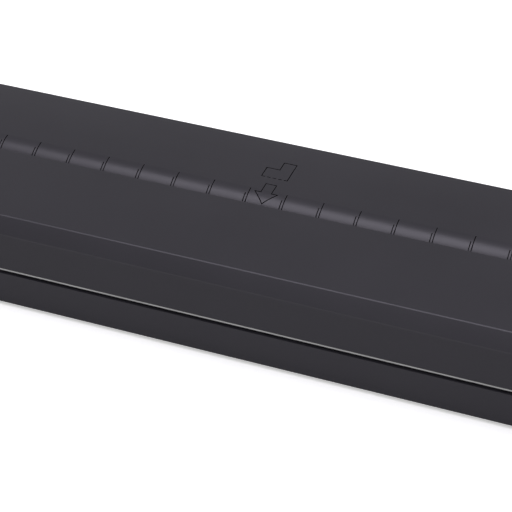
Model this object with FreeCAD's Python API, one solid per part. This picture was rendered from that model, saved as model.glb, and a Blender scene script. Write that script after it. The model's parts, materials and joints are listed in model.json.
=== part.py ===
import FreeCAD, Part
import math
import os

# A slim sheet-fed document scanner, in millimetres. X runs along the bar. The sheet goes in at the slot
# in the top, face down, and leaves at the foot of the front, -Y. The origin is under the middle of the
# body, on the surface that it stands on.

V = FreeCAD.Vector
X_AXIS = V(1, 0, 0)
Z_AXIS = V(0, 0, 1)

# Overall sizes
LENGTH = 290.0
DEPTH = 60.28
HEIGHT = 26.5
WALL = 1.6

# Housing
FOOT_PROUD = 0.85
PARTING_Z = 10.5
BASE_EDGE_RADIUS = 0.6
END_WIDTH = 19.0
SEAM_GAP = 0.15
SIDE_GAP = 0.3
END_RADIUS = 1.2
SHELF_EDGE_RADIUS = 0.4
INNER_CORNER = WALL * math.tan(math.radians(22.5))

# Hinged cover
COVER_DEPTH = 30.54
CHAMFER = 3.58
CREST_RADIUS = 0.8
BROW_RADIUS = 1.2
BEAD_RADIUS = 1.2
EXIT_SLOT = 1.0
HINGE_PIN_RADIUS = 0.6
HINGE_PIN_IN_COVER = 4.0
HINGE_PIN_IN_END = 3.5
HINGE_PIN_PLAY = 0.5
HINGE_BOSS_RADIUS = 1.6
HINGE_BOSS_END = 0.5
RIB_WALL = 1.2
RIB_TO_LIP = 1.0
RIB_PAST_SHAFT = 1.6
RIB_PLACES = (-108.0, -57.5, 0.0, 57.5, 108.0)

# Sheet path
LIP_SETBACK = 7.1
LIP_RADIUS = 8.1
TURN_RADIUS = 7.4
PATH_GAP = 1.4
LOWER_GUIDE_WALL = 1.2
UPPER_GUIDE_WALL = 1.0
NIP_RISE = 0.5
GUIDE_LEG_TO_ROLLER = 1.0
GUIDE_TO_BUSH = 0.4
GUIDE_LEG_PLACES = (-104.0, -47.0, -15.0, 15.0, 47.0, 104.0)

# Engraved marks
GROOVE_DEPTH = 0.25
GROOVE_WIDTH = 0.27
TICK_PITCH = 10.0
TICK_COUNT = 22
TICK_SPREAD = 0.72
TICK_LONG_START = 3.0
TICK_SHORT_START = 18.0
TICK_END = 80.0

# Rollers
FEED_RADIUS = 3.5
FEED_SHAFT_RADIUS = 1.5
FEED_OFFSET = 0.5
EXIT_RADIUS = 2.2
EXIT_SHAFT_RADIUS = 1.0
EXIT_SETBACK = 4.94
PINCH_RADIUS = 2.6
PINCH_SHAFT_RADIUS = 0.8
EXIT_IDLER_RADIUS = 1.8
EXIT_IDLER_SHAFT_RADIUS = 0.7
ROLLER_PLACES = (-85.0, -30.0, 30.0, 85.0)
FEED_SLEEVE = 22.0
EXIT_SLEEVE = 14.0
ROLLER_GAP = 0.3
ROLLER_EDGE = 0.3
RUNNING = 0.05
AROUND_ROLLER = 0.5

# Image sensor
SENSOR_LENGTH = 232.0
SENSOR_WIDTH = 9.6
SENSOR_GAP = 0.4
SENSOR_PAD = 0.75
SENSOR_TONGUE = 3.0
SENSOR_TONGUE_MARGIN = 1.0
SENSOR_PAD_HALF = 3.0
SENSOR_PAD_FROM_END = 8.0
SENSOR_PAD_FROM_MIDDLE = 40.0
SENSOR_BOARD = 1.0
SENSOR_RISE = 0.1
SENSOR_WALL = 0.6
SENSOR_SLIT = 1.2
GLASS_THICKNESS = 1.0
LENS_WIDTH = 2.2
LENS_HEIGHT = 4.2
LENS_FROM_END = 7.0
LENS_GAP = 0.4
LIGHT_GUIDE_RADIUS = 1.1
LIGHT_GUIDE_DROP = 0.2
GUIDE_TO_SENSOR = 0.2
BACKING_INSET = 0.4
BACKING_EDGE = 0.5
BACKING_GAP = 0.8

# Side plates, bushes and gears
PLATE_WALL = 1.2
PLATE_SETBACK = 0.6
PLATE_FOOT = 6.0
PLATE_TO_WALL = 0.6
PLATE_TO_CEILING = 2.0
PLATE_OVER_THROAT = 3.0
PLATE_OVER_IDLER = 6.0
PLATE_PAST_EXIT = 1.0
PLATE_OVER_HINGE = 1.6
RIGHT_PLATE_FOOT = (-6.0, 10.0)
LEFT_PLATE_FOOT = (-11.0, 3.0)
LEFT_PLATE_BACK = 6.0
BUSH_WALL = 0.5
BUSH_FLANGE = 0.5
MODULE = 0.5
PRESSURE_ANGLE = math.radians(25.0)
ADDENDUM = 0.8 * MODULE
DEDENDUM = 1.05 * MODULE
TOOTH_FULLNESS = 0.84
GEAR_WIDTH = 3.0
GEAR_GAP = 0.5
GEAR_TO_FLOOR = 0.4
LARGE_GEAR_TO_FLOOR = 1.0
GEAR_PIN_RADIUS = 1.0
CLIP_WALL = 0.9
CLIP_THICKNESS = 0.5
CLIP_MOUTH = 0.7
CLIP_PLAY = 0.1
SHAFT_CLIP_GAP = 0.3
SHAFT_OVERHANG = 1.2
SHAFT_EDGE = 0.2
COVER_SHAFT_OVERHANG = 4.0
REAR_IDLER_HUB_RADIUS = 2.2
RIGHT_PLATE_SCREWS = (-3.0, 7.0)
LEFT_PLATE_SCREWS = (-8.5, 0.0)
FEED_TEETH = 16
EXIT_TEETH = 10
FRONT_IDLER_TEETH = 22
SMALL_TEETH = 14
LARGE_TEETH = 34
REAR_IDLER_TEETH = 16
PINION_TEETH = 12

# Motor
MOTOR_RADIUS = 9.0
MOTOR_LENGTH = 14.6
TRAIN_SPREAD = 0.872
MOTOR_RISE = 11.05
MOTOR_EAR_REACH = 11.4
MOTOR_EAR_RADIUS = 2.2
MOTOR_EAR_WALL = 0.8
MOTOR_EAR_ANGLE = 48.0
MOTOR_SHAFT_RADIUS = 0.75
MOTOR_SHAFT_IN_CAN = 7.5
MOTOR_BORE_DEPTH = 8.0
MOTOR_COLLAR_RADIUS = 2.6
MOTOR_EDGE = 0.5

# Screws, bosses and feet
BOSS_RADIUS = 3.2
SCREW_RADIUS = 1.0
SCREW_HEAD_RADIUS = 1.9
SCREW_HEAD = 1.3
SCREW_SINK = 2.3
BOSS_JOINT_Z = 7.0
UPPER_BOSS_RADIUS = 2.3
SCREW_BITE = 6.0
SMALL_SCREW_RADIUS = 0.8
SMALL_HEAD_RADIUS = 1.5
SMALL_HEAD = 0.9
SCREW_FIT = 0.15
HEAD_FIT = 0.2
BORE_SPARE = 0.1
RECESS_REACH = 0.62
RECESS_HALF_WIDTH = 0.25
RECESS_DEPTH = 0.6
END_BOSS_TO_WALL = 0.6
SHELF_BOSS_IN_WALL = 0.2
PLATE_SCREW_BITE = 0.9
BOARD_SCREW_BITE = 2.4
SHELF_BOSS_PLACES = (-112.0, -40.0, 40.0, 104.0)
FOOT_RADIUS = 4.0
FOOT_SUNK = 0.6
FOOT_INSET = 9.0
FOOT_EDGE = 0.3
LABEL_HALF_LENGTH = 32.0
LABEL_HALF_WIDTH = 11.0
LABEL_THICKNESS = 0.3
LABEL_FIT = 0.1

# Electronics
BOARD_WALL = 1.2
BOARD_START = 3.0
BOARD_RIGHT_X = -50.0
BOARD_DEPTH = 15.0
BOARD_Z = 6.0
BOARD_TO_BOSS = 0.9
BOARD_POST_RADIUS = 2.2
BOARD_POST_FROM_LEFT = 16.0
BOARD_POST_FROM_RIGHT = 12.0
BOARD_POST_FROM_BACK = 3.5
CHIP_HEIGHT = 1.1
CHIP_SIZES = ((-118.0, 12.0, 10.0), (-100.0, 9.0, 8.0), (-84.0, 6.0, 6.0))
CAPACITORS_FROM_RIGHT = 22.0
CAPACITORS_FROM_FRONT = 3.0
CAPACITOR_COUNT = 4
CAPACITOR_PITCH = 4.4
CAPACITOR_RADIUS = 1.8
CAPACITOR_HEIGHT = 4.0
PORT_WIDTH = 8.4
PORT_HEIGHT = 3.0
PORT_BODY = 5.6
PORT_RECESS = 0.5
PORT_WALL = 0.4
PORT_FIT = 0.3
TONGUE_RECESS = 0.6
TONGUE_HALF_WIDTH = 3.0
TONGUE_HALF_HEIGHT = 0.35
BUTTON_RADIUS = 3.6
BUTTON_TRAVEL = 0.5
BUTTON_FIT = 0.15
BUTTON_FLANGE = 0.9
BUTTON_FORWARD = 12.0
LAMP_RADIUS = 0.9
LAMP_FORWARD = 3.0
BUTTON_STEM = 1.0
BUTTON_STEM_RADIUS = 1.2
BUTTON_EDGE = 0.3
BUTTON_RIM = 0.9
KEY_POST_RADIUS = 1.8
KEY_POST_FORWARD = 7.5
KEY_POST_BEHIND = 5.0
KEY_BOARD_HALF_WIDTH = 5.0
KEY_BOARD_FORWARD = 10.0
KEY_BOARD_BEHIND = 7.5
LAMP_FLANGE = 0.8
LAMP_RIM = 0.6
LAMP_HEIGHT = 1.1
LAMP_GAP = 0.1
LAMP_HALF_LENGTH = 1.0
LAMP_HALF_WIDTH = 0.8
SWITCH_SIDE = 6.0
SWITCH_HEIGHT = 3.4
SWITCH_PLUNGER_RADIUS = 1.5
SWITCH_PLUNGER_RISE = 0.9
SWITCH_PLUNGER_IN = 1.0
SWITCH_BORE = 1.6
RIBBON_WALL = 0.3
RIBBON_WIDTH = 12.0
RIBBON_FROM_BOARD_END = 10.0
RIBBON_ON_SENSOR = 1.0
RIBBON_BEHIND_THROAT = 2.5
RIBBON_BEFORE_BOARD = 1.0
RIBBON_UNDER_BOARD = 1.5
RIBBON_DROP = 1.2
SOCKET_MARGIN = 0.8
CLAMP_SPAN = (0.6, 2.8)
CLAMP_HEIGHT = 1.2
SOCKET_SPAN = (0.3, 3.6)
SOCKET_HEIGHT = 1.9
CABLE_WALL = 0.9
CABLE_WIDTH = 4.0
CABLE_FROM_BOARD_BACK = 5.2
CABLE_OFF_BOARD = 1.0
CABLE_OVER_BOARD = 1.2
CABLE_IN_MOTOR = 1.0
CABLE_UNDER_MOTOR = 0.9
CABLE_TO_FLOOR = 0.05
CABLE_LEVEL_RUN = 6.0
CABLE_SLOPE = 14.0
CABLE_RISE_RUN = 7.0
CABLE_SOCKET_DEPTH = 6.0
CABLE_SOCKET_MARGIN = 1.0
CABLE_SOCKET_HEIGHT = 2.6

# Sheet sensor
LEVER_WALL = 1.6
LEVER_PIN_RADIUS = 0.6
LEVER_EAR_GAP = 0.4
LEVER_HUB_RADIUS = 1.5
LEVER_ARM = 2.4
LEVER_BEHIND_THROAT = 4.6
LEVER_RISE = 1.5
NOSE_INTO_PATH = 0.9
NOSE_ANGLE = 232
NOSE_TIP = (1.0, 0.9)
FLAG_LOW = (4.6, -5.4)
FLAG_HIGH = (6.6, -4.0)
GATE_SPAN = (3.0, 8.0)
GATE_HALF_WIDTH = 3.4
GATE_SLOT_HALF_WIDTH = 1.4
GATE_FLOOR = 1.2
GATE_UNDER_PIN = 2.0
GATE_BOARD_SPAN = (1.5, 9.5)
GATE_BOARD_HALF_WIDTH = 7.0

# Places worked out from the sizes
FRONT_Y = -DEPTH / 2
BACK_Y = DEPTH / 2
FLOOR_Z = FOOT_PROUD + WALL
CEILING_Z = HEIGHT - WALL
END_X = LENGTH / 2 - END_WIDTH
COVER_HALF = END_X - SIDE_GAP
SHELF_HALF = END_X - SEAM_GAP
COVER_BACK_Y = FRONT_Y + COVER_DEPTH
HINGE_Y = FRONT_Y + BEAD_RADIUS
HINGE_Z = PARTING_Z + EXIT_SLOT + BEAD_RADIUS
LIP_Y = COVER_BACK_Y + LIP_SETBACK
LIP_Z = HEIGHT - LIP_RADIUS
THROAT_Y = LIP_Y - LIP_RADIUS
TURN_Y = THROAT_Y - TURN_RADIUS
TURN_Z = PARTING_Z + TURN_RADIUS
INNER_TURN = TURN_RADIUS - PATH_GAP
UPPER_GUIDE_Z = PARTING_Z + PATH_GAP
RIB_FOOT_Z = UPPER_GUIDE_Z + UPPER_GUIDE_WALL
NIP_Z = PARTING_Z + NIP_RISE
FEED_Y = TURN_Y - FEED_OFFSET
FEED_Z = NIP_Z - FEED_RADIUS
EXIT_Y = FRONT_Y + EXIT_SETBACK
EXIT_Z = NIP_Z - EXIT_RADIUS
PINCH_Z = NIP_Z + ROLLER_GAP + PINCH_RADIUS
EXIT_IDLER_Z = NIP_Z + ROLLER_GAP + EXIT_IDLER_RADIUS
SENSOR_FRONT_Y = EXIT_Y + EXIT_RADIUS + SENSOR_GAP
SENSOR_BACK_Y = SENSOR_FRONT_Y + SENSOR_WIDTH
SENSOR_Y = (SENSOR_FRONT_Y + SENSOR_BACK_Y) / 2
SENSOR_BOARD_Z = FLOOR_Z + SENSOR_PAD
SENSOR_BODY_Z = SENSOR_BOARD_Z + SENSOR_BOARD
SENSOR_TOP_Z = PARTING_Z + SENSOR_RISE
PLATE_X = END_X + PLATE_SETBACK
PLATE_OUT_X = PLATE_X + PLATE_WALL
GEAR_X = PLATE_OUT_X + GEAR_GAP
OUTER_GEAR_X = GEAR_X + GEAR_WIDTH + GEAR_GAP
OUTER_GEAR_END_X = OUTER_GEAR_X + GEAR_WIDTH
REDUCTION_Z = FLOOR_Z + MODULE * LARGE_TEETH / 2 + ADDENDUM + LARGE_GEAR_TO_FLOOR
REDUCTION_REACH = MODULE * (FEED_TEETH + SMALL_TEETH) / 2
REDUCTION_Y = FEED_Y + math.sqrt(REDUCTION_REACH ** 2 - (REDUCTION_Z - FEED_Z) ** 2)
MOTOR_REACH = MODULE * (LARGE_TEETH + 2 * REAR_IDLER_TEETH + PINION_TEETH) / 2
MOTOR_Y = REDUCTION_Y + TRAIN_SPREAD * MOTOR_REACH
MOTOR_Z = FLOOR_Z + MOTOR_RISE
BOARD_LEFT_X = -LENGTH / 2 + BOARD_START
RIBBON_X = BOARD_RIGHT_X - RIBBON_FROM_BOARD_END
BOARD_BACK_Y = BACK_Y - WALL - 2 * BOSS_RADIUS - BOARD_TO_BOSS
BOARD_FRONT_Y = BOARD_BACK_Y - BOARD_DEPTH
BUTTON_X = -(END_X + LENGTH / 2) / 2
BUTTON_Y = -BUTTON_FORWARD
LAMP_Y = -LAMP_FORWARD
PLUNGER_TOP_Z = CEILING_Z - BUTTON_FLANGE - BUTTON_STEM
SWITCH_TOP_Z = PLUNGER_TOP_Z - SWITCH_PLUNGER_RISE
KEY_BOARD_Z = SWITCH_TOP_Z - SWITCH_HEIGHT
CABLE_Y = BOARD_BACK_Y - CABLE_FROM_BOARD_BACK
LEVER_Y = THROAT_Y + LEVER_BEHIND_THROAT
LEVER_Z = PARTING_Z + LEVER_RISE


# ---------------------------------------------------------------- helpers

def box(x0, x1, y0, y1, z0, z1):
    return Part.makeBox(x1 - x0, y1 - y0, z1 - z0, V(x0, y0, z0))


def rod(radius, x0, x1, y, z):
    """A cylinder along X."""
    return Part.makeCylinder(radius, x1 - x0, V(x0, y, z), X_AXIS)


def post(radius, z0, z1, x, y):
    """A cylinder along Z."""
    return Part.makeCylinder(radius, z1 - z0, V(x, y, z0), Z_AXIS)


def prism_x(path, x0, x1):
    """A YZ section swept along X. Each step of the path is a corner (y, z), or an arc written as
    the pair (a point on the arc, its end)."""
    start = V(x0, *path[0])
    here = start
    edges = []
    for step in path[1:] + [path[0]]:
        if isinstance(step[0], tuple):
            middle, end = (V(x0, *point) for point in step)
            edges.append(Part.Arc(here, middle, end).toShape())
        else:
            end = V(x0, *step)
            if end.distanceToPoint(here) < 1e-6:
                continue
            edges.append(Part.LineSegment(here, end).toShape())
        here = end
    return Part.Face(Part.Wire(edges)).extrude(V(x1 - x0, 0, 0))


def on_circle(y, z, radius, degrees):
    """The point of a circle that lies this far round from straight up, towards -Y."""
    angle = math.radians(degrees)
    return (y - radius * math.sin(angle), z + radius * math.cos(angle))


def join(shapes):
    shapes = list(shapes)
    return shapes[0].multiFuse(shapes[1:]) if len(shapes) > 1 else shapes[0]


def edges_along_x(shape, y, z):
    """The edges of a shape that run along X at this place of the section."""
    found = []
    for edge in shape.Edges:
        ends = [vertex.Point for vertex in edge.Vertexes]
        if len(ends) == 2 and all(abs(p.y - y) < 1e-4 and abs(p.z - z) < 1e-4 for p in ends):
            found.append(edge)
    return found


def round_edge(shape, y, z, radius):
    return shape.makeFillet(radius, edges_along_x(shape, y, z))


def rounded_rod(radius, x0, x1, y, z, edge=ROLLER_EDGE):
    """A cylinder along X with its two end edges broken."""
    cylinder = rod(radius, x0, x1, y, z)
    rims = [e for e in cylinder.Edges if isinstance(e.Curve, Part.Circle)]
    return cylinder.makeChamfer(edge, rims)


def export(name, *solids):
    """Write one node: one solid, or a group of separate solids."""
    shape = solids[0] if len(solids) == 1 else Part.makeCompound(list(solids))
    shape = shape.removeSplitter() if len(solids) == 1 else shape
    shape.exportStep(os.path.join("parts", name + ".step"))
    print(name, len(shape.Solids), round(shape.Volume, 1), shape.isValid())


# ---------------------------------------------------------------- housing

def foot_places():
    for x in (-1, 1):
        for y in (-1, 1):
            yield x * (LENGTH / 2 - FOOT_INSET - WALL), y * (DEPTH / 2 - FOOT_INSET)


def end_boss_places():
    inset = WALL + BOSS_RADIUS + END_BOSS_TO_WALL
    for x in (-1, 1):
        for y in (-1, 1):
            yield x * (LENGTH / 2 - inset), y * (DEPTH / 2 - inset)


def shelf_boss_places():
    for x in SHELF_BOSS_PLACES:
        yield x, BACK_Y - WALL - BOSS_RADIUS + SHELF_BOSS_IN_WALL


def board_post_places():
    for x in (BOARD_LEFT_X + BOARD_POST_FROM_LEFT, BOARD_RIGHT_X - BOARD_POST_FROM_RIGHT):
        yield x, BOARD_BACK_Y - BOARD_POST_FROM_BACK


def sensor_pad_places():
    outer = SENSOR_LENGTH / 2 - SENSOR_PAD_FROM_END
    for x in (-outer, -SENSOR_PAD_FROM_MIDDLE, SENSOR_PAD_FROM_MIDDLE, outer):
        yield x


def plate_screw_places():
    for offset in RIGHT_PLATE_SCREWS:
        yield PLATE_OUT_X + PLATE_FOOT / 2, MOTOR_Y + offset
    for offset in LEFT_PLATE_SCREWS:
        yield -PLATE_OUT_X - PLATE_FOOT / 2, FEED_Y + offset


def port_opening(clearance, x0, x1):
    centre_y = BOARD_FRONT_Y + BOARD_DEPTH / 2
    half = PORT_WIDTH / 2 + clearance
    low = BOARD_Z + BOARD_WALL - clearance
    high = BOARD_Z + BOARD_WALL + PORT_HEIGHT + clearance
    return box(x0, x1, centre_y - half, centre_y + half, low, high)


def base_shell():
    half = LENGTH / 2
    outside = box(-half, half, FRONT_Y, BACK_Y, FOOT_PROUD, PARTING_Z)
    upright = [e for e in outside.Edges if e.BoundBox.ZLength > 1]
    outside = outside.makeFillet(END_RADIUS, upright)
    underside = [e for e in outside.Edges if e.BoundBox.ZMax < FOOT_PROUD + 1e-3]
    outside = outside.makeFillet(BASE_EDGE_RADIUS, underside)
    inside = box(WALL - half, half - WALL, FRONT_Y + WALL, BACK_Y - WALL, FLOOR_Z, HEIGHT)
    shell = outside.cut(inside)
    raised = [post(BOSS_RADIUS, FLOOR_Z, BOSS_JOINT_Z, x, y) for x, y in end_boss_places()]
    raised += [post(BOSS_RADIUS, FLOOR_Z, BOSS_JOINT_Z, x, y) for x, y in shelf_boss_places()]
    raised += [post(BOARD_POST_RADIUS, FLOOR_Z, BOARD_Z, x, y) for x, y in board_post_places()]
    raised += [
        box(x - SENSOR_PAD_HALF, x + SENSOR_PAD_HALF, SENSOR_FRONT_Y, SENSOR_BACK_Y, FLOOR_Z, SENSOR_BOARD_Z)
        for x in sensor_pad_places()
    ]
    shell = join([shell] + raised)
    holes = []
    for x, y in list(end_boss_places()) + list(shelf_boss_places()):
        holes.append(post(SCREW_RADIUS + SCREW_FIT, 0, BOSS_JOINT_Z + 1, x, y))
        holes.append(post(SCREW_HEAD_RADIUS + HEAD_FIT, 0, FOOT_PROUD + SCREW_SINK, x, y))
    for x, y in foot_places():
        holes.append(post(FOOT_RADIUS, 0, FOOT_PROUD + FOOT_SUNK, x, y))
    for x, y in board_post_places():
        holes.append(post(SMALL_SCREW_RADIUS, BOARD_Z - BOARD_SCREW_BITE - BORE_SPARE, BOARD_Z + 1, x, y))
    for x, y in plate_screw_places():
        low = FLOOR_Z - PLATE_SCREW_BITE - BORE_SPARE
        holes.append(post(SMALL_SCREW_RADIUS, low, FLOOR_Z + 1, x, y))
    holes.append(port_opening(PORT_FIT, -half - 1, WALL - half + 1))
    holes.append(label_plate(LABEL_FIT))
    for teeth, y, z in ((FEED_TEETH, FEED_Y, FEED_Z), (EXIT_TEETH, EXIT_Y, EXIT_Z)):
        clear = pitch_radius(teeth) + ADDENDUM + GEAR_TO_FLOOR
        holes.append(rod(clear, GEAR_X - GEAR_GAP, GEAR_X + GEAR_WIDTH + GEAR_GAP, y, z))
    return shell.cut(Part.makeCompound(holes))


def label_plate(clearance=0.0):
    half_x = LABEL_HALF_LENGTH + clearance
    half_y = LABEL_HALF_WIDTH + clearance
    return box(-half_x, half_x, -half_y, half_y, FOOT_PROUD - clearance, FOOT_PROUD + LABEL_THICKNESS)


def rubber_feet():
    feet = []
    for x, y in foot_places():
        foot = post(FOOT_RADIUS, 0, FOOT_PROUD + FOOT_SUNK, x, y)
        low = [e for e in foot.Edges if e.BoundBox.ZMax < 1e-6]
        feet.append(foot.makeFillet(FOOT_EDGE, low))
    return feet


def case_screws():
    screws = []
    head_z = FOOT_PROUD + SCREW_SINK - SCREW_HEAD
    for x, y in list(end_boss_places()) + list(shelf_boss_places()):
        head = post(SCREW_HEAD_RADIUS, head_z, head_z + SCREW_HEAD, x, y)
        shank = post(SCREW_RADIUS, head_z + SCREW_HEAD, BOSS_JOINT_Z + SCREW_BITE, x, y)
        screws.append(cross_recess(head.fuse(shank), x, y, head_z, SCREW_HEAD_RADIUS, 1))
    return screws


def cross_recess(screw, x, y, face_z, head_radius, up):
    """Cut a cross into a screw's head, from its face at face_z, up or down into the head."""
    arm = head_radius * RECESS_REACH
    deep = RECESS_DEPTH * up
    z0, z1 = sorted((face_z - deep, face_z + deep))
    half = RECESS_HALF_WIDTH
    slots = box(x - arm, x + arm, y - half, y + half, z0, z1)
    return screw.cut(slots.fuse(box(x - half, x + half, y - arm, y + arm, z0, z1)))


def upper_boss(x, y):
    """A boss that hangs from the ceiling down to the base's own boss, with the screw's bore."""
    boss = post(UPPER_BOSS_RADIUS, BOSS_JOINT_Z, CEILING_Z, x, y)
    return boss.cut(post(SCREW_RADIUS, BOSS_JOINT_Z - 1, BOSS_JOINT_Z + SCREW_BITE, x, y))


def mark_skin():
    """The thin layer under the shelf's surface that engraved marks are cut from."""
    reach = 12.0
    top = HEIGHT + 1
    flat = box(-reach, reach, LIP_Y, BACK_Y, HEIGHT - GROOVE_DEPTH, top)
    bend = rod(LIP_RADIUS + 1, -reach, reach, LIP_Y, LIP_Z)
    bend = bend.cut(rod(LIP_RADIUS - GROOVE_DEPTH, -reach, reach, LIP_Y, LIP_Z))
    bend = bend.common(box(-reach, reach, THROAT_Y, LIP_Y, LIP_Z, top))
    return flat.fuse(bend)


def upright_groove(start, end):
    """A thin upright wall from one (x, y) to another, which cuts a groove of the engraving's width."""
    a = V(start[0], start[1], LIP_Z)
    b = V(end[0], end[1], LIP_Z)
    along = (b - a).normalize()
    side = V(-along.y, along.x, 0) * (GROOVE_WIDTH / 2)
    cap = along * (GROOVE_WIDTH / 2)
    corners = [a - side - cap, b - side + cap, b + side + cap, a + side - cap]
    outline = Part.makePolygon(corners + [corners[0]])
    return Part.Face(outline).extrude(V(0, 0, LIP_RADIUS + 1))


def outline_grooves(points):
    return [upright_groove(points[i - 1], points[i]) for i in range(len(points))]


def page_grooves():
    """A page with a stepped corner, whose near edge is dashed."""
    left, right, step = -4.0, 3.1, -0.4
    near, far, ledge = LIP_Y + 5.6, LIP_Y + 13.2, LIP_Y + 9.7
    corners = [(right, near), (right, far), (step, far), (step, ledge), (left, ledge), (left, near)]
    grooves = [upright_groove(corners[i], corners[i + 1]) for i in range(len(corners) - 1)]
    dashes = 5
    pitch = (right - left) / (dashes - 0.4)
    for i in range(dashes):
        x = left + i * pitch
        grooves.append(upright_groove((x + 0.1, near), (x + 0.6 * pitch - 0.1, near)))
    return grooves


def arrow_grooves():
    """An outlined arrow that points down into the slot."""
    centre, half_tail, half_head = -0.15, 1.45, 3.1
    tail, wing, tip = LIP_Y + 2.6, LIP_Y - 1.25, LIP_Y - 4.5
    return outline_grooves([
        (centre - half_tail, tail), (centre + half_tail, tail), (centre + half_tail, wing),
        (centre + half_head, wing), (centre, tip), (centre - half_head, wing), (centre - half_tail, wing),
    ])


def tick_groove(x, start_degrees):
    """A groove round the lip, from this far round to its end under the cover's edge."""
    low = x - GROOVE_WIDTH / 2
    middle = V(low, LIP_Y, LIP_Z)
    outer = Part.makeCylinder(LIP_RADIUS + 1, GROOVE_WIDTH, middle, X_AXIS, TICK_END - start_degrees)
    outer.rotate(middle, X_AXIS, start_degrees)
    return outer.cut(rod(LIP_RADIUS - GROOVE_DEPTH, low, low + GROOVE_WIDTH, LIP_Y, LIP_Z))


def shelf_marks():
    skin = mark_skin()
    marks = [groove.common(skin) for groove in page_grooves() + arrow_grooves()]
    for i in range(TICK_COUNT):
        x = (i - (TICK_COUNT - 1) / 2) * TICK_PITCH
        marks.append(tick_groove(x + TICK_SPREAD / 2, TICK_LONG_START))
        marks.append(tick_groove(x - TICK_SPREAD / 2, TICK_SHORT_START))
    return Part.makeCompound(marks)


def rear_shelf():
    inner = LIP_RADIUS - WALL
    outline = [
        (BACK_Y, PARTING_Z),
        (BACK_Y, HEIGHT),
        (LIP_Y, HEIGHT),
        (on_circle(LIP_Y, LIP_Z, LIP_RADIUS, 45), (THROAT_Y, LIP_Z)),
        (THROAT_Y + WALL, LIP_Z),
        (on_circle(LIP_Y, LIP_Z, inner, 45), (LIP_Y, CEILING_Z)),
        (BACK_Y - WALL, CEILING_Z),
        (BACK_Y - WALL, PARTING_Z),
    ]
    shelf = prism_x(outline, -SHELF_HALF, SHELF_HALF)
    shelf = round_edge(shelf, BACK_Y, HEIGHT, SHELF_EDGE_RADIUS)
    shelf = join([shelf] + [upper_boss(x, y) for x, y in shelf_boss_places()])
    return shelf.cut(shelf_marks())


def body_outline(inset):
    """The section of the whole bar above the parting line, moved in by inset all round."""
    corner = inset * math.tan(math.radians(22.5))
    return [
        (FRONT_Y + inset, PARTING_Z),
        (FRONT_Y + inset, HEIGHT - CHAMFER - corner),
        (FRONT_Y + CHAMFER + corner, HEIGHT - inset),
        (BACK_Y - inset, HEIGHT - inset),
        (BACK_Y - inset, PARTING_Z),
    ]


def right_end_shell():
    half = LENGTH / 2
    outside = prism_x(body_outline(0.0), END_X, half)
    rim = [
        e for e in outside.Edges
        if all(abs(v.Point.x - half) < 1e-6 for v in e.Vertexes) and e.BoundBox.ZMax > PARTING_Z + 1e-3
    ]
    outside = outside.makeFillet(END_RADIUS, rim)
    shell = outside.cut(prism_x(body_outline(WALL), END_X - 1, half - WALL))
    boss_end = END_X + HINGE_PIN_IN_END + HINGE_BOSS_END
    boss = rod(HINGE_BOSS_RADIUS, END_X, boss_end, HINGE_Y, HINGE_Z)
    bosses = [upper_boss(x, y) for x, y in end_boss_places() if x > 0]
    shell = join([shell, boss.common(outside)] + bosses)
    pin_bore = rod(HINGE_PIN_RADIUS, END_X - 1, END_X + HINGE_PIN_IN_END, HINGE_Y, HINGE_Z)
    return shell.cut(pin_bore)


def left_end_shell():
    shell = right_end_shell().mirror(V(0, 0, 0), X_AXIS)
    posts = [post(KEY_POST_RADIUS, KEY_BOARD_Z, CEILING_Z, x, y) for x, y in key_board_posts()]
    shell = join([shell] + posts)
    holes = [post(BUTTON_RADIUS + BUTTON_FIT, CEILING_Z - 1, HEIGHT + 1, BUTTON_X, BUTTON_Y)]
    holes.append(post(LAMP_RADIUS, CEILING_Z - 1, HEIGHT + 1, BUTTON_X, LAMP_Y))
    for x, y in key_board_posts():
        high = KEY_BOARD_Z + BOARD_SCREW_BITE + BORE_SPARE
        holes.append(post(SMALL_SCREW_RADIUS, KEY_BOARD_Z - 1, high, x, y))
    return shell.cut(Part.makeCompound(holes))


# ---------------------------------------------------------------- hinged cover

def cover_skin():
    inset = FRONT_Y + WALL
    outline = [
        (FRONT_Y, HINGE_Z),
        (FRONT_Y, HEIGHT - CHAMFER),
        (FRONT_Y + CHAMFER, HEIGHT),
        (COVER_BACK_Y, HEIGHT),
        (COVER_BACK_Y, CEILING_Z),
        (FRONT_Y + CHAMFER + INNER_CORNER, CEILING_Z),
        (inset, HEIGHT - CHAMFER - INNER_CORNER),
        (inset, HINGE_Z),
    ]
    skin = prism_x(outline, -COVER_HALF, COVER_HALF)
    skin = round_edge(skin, FRONT_Y + CHAMFER, HEIGHT, CREST_RADIUS)
    skin = round_edge(skin, FRONT_Y, HEIGHT - CHAMFER, BROW_RADIUS)
    return skin.fuse(rod(BEAD_RADIUS, -COVER_HALF, COVER_HALF, HINGE_Y, HINGE_Z))


def cover_rib(x0, x1):
    """A wall across the inside of the cover, down to the upper guide and round the exit idler's shaft."""
    guide_back_y = TURN_Y + INNER_TURN - UPPER_GUIDE_WALL
    inset = FRONT_Y + WALL
    nose_y, nose_z = EXIT_Y - RIB_PAST_SHAFT, EXIT_IDLER_Z - RIB_PAST_SHAFT
    outline = [
        (inset, HINGE_Z + BEAD_RADIUS),
        (inset, HEIGHT - CHAMFER - INNER_CORNER),
        (FRONT_Y + CHAMFER + INNER_CORNER, CEILING_Z),
        (COVER_BACK_Y - RIB_TO_LIP, CEILING_Z),
        (guide_back_y, TURN_Z),
        (TURN_Y, RIB_FOOT_Z),
        (SENSOR_FRONT_Y, RIB_FOOT_Z),
        (SENSOR_FRONT_Y, nose_z),
        (nose_y, nose_z),
        (nose_y, HINGE_Z + BEAD_RADIUS),
    ]
    return prism_x(outline, x0, x1)


def cover_rib_spans():
    for x in RIB_PLACES:
        yield x - RIB_WALL / 2, x + RIB_WALL / 2


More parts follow.
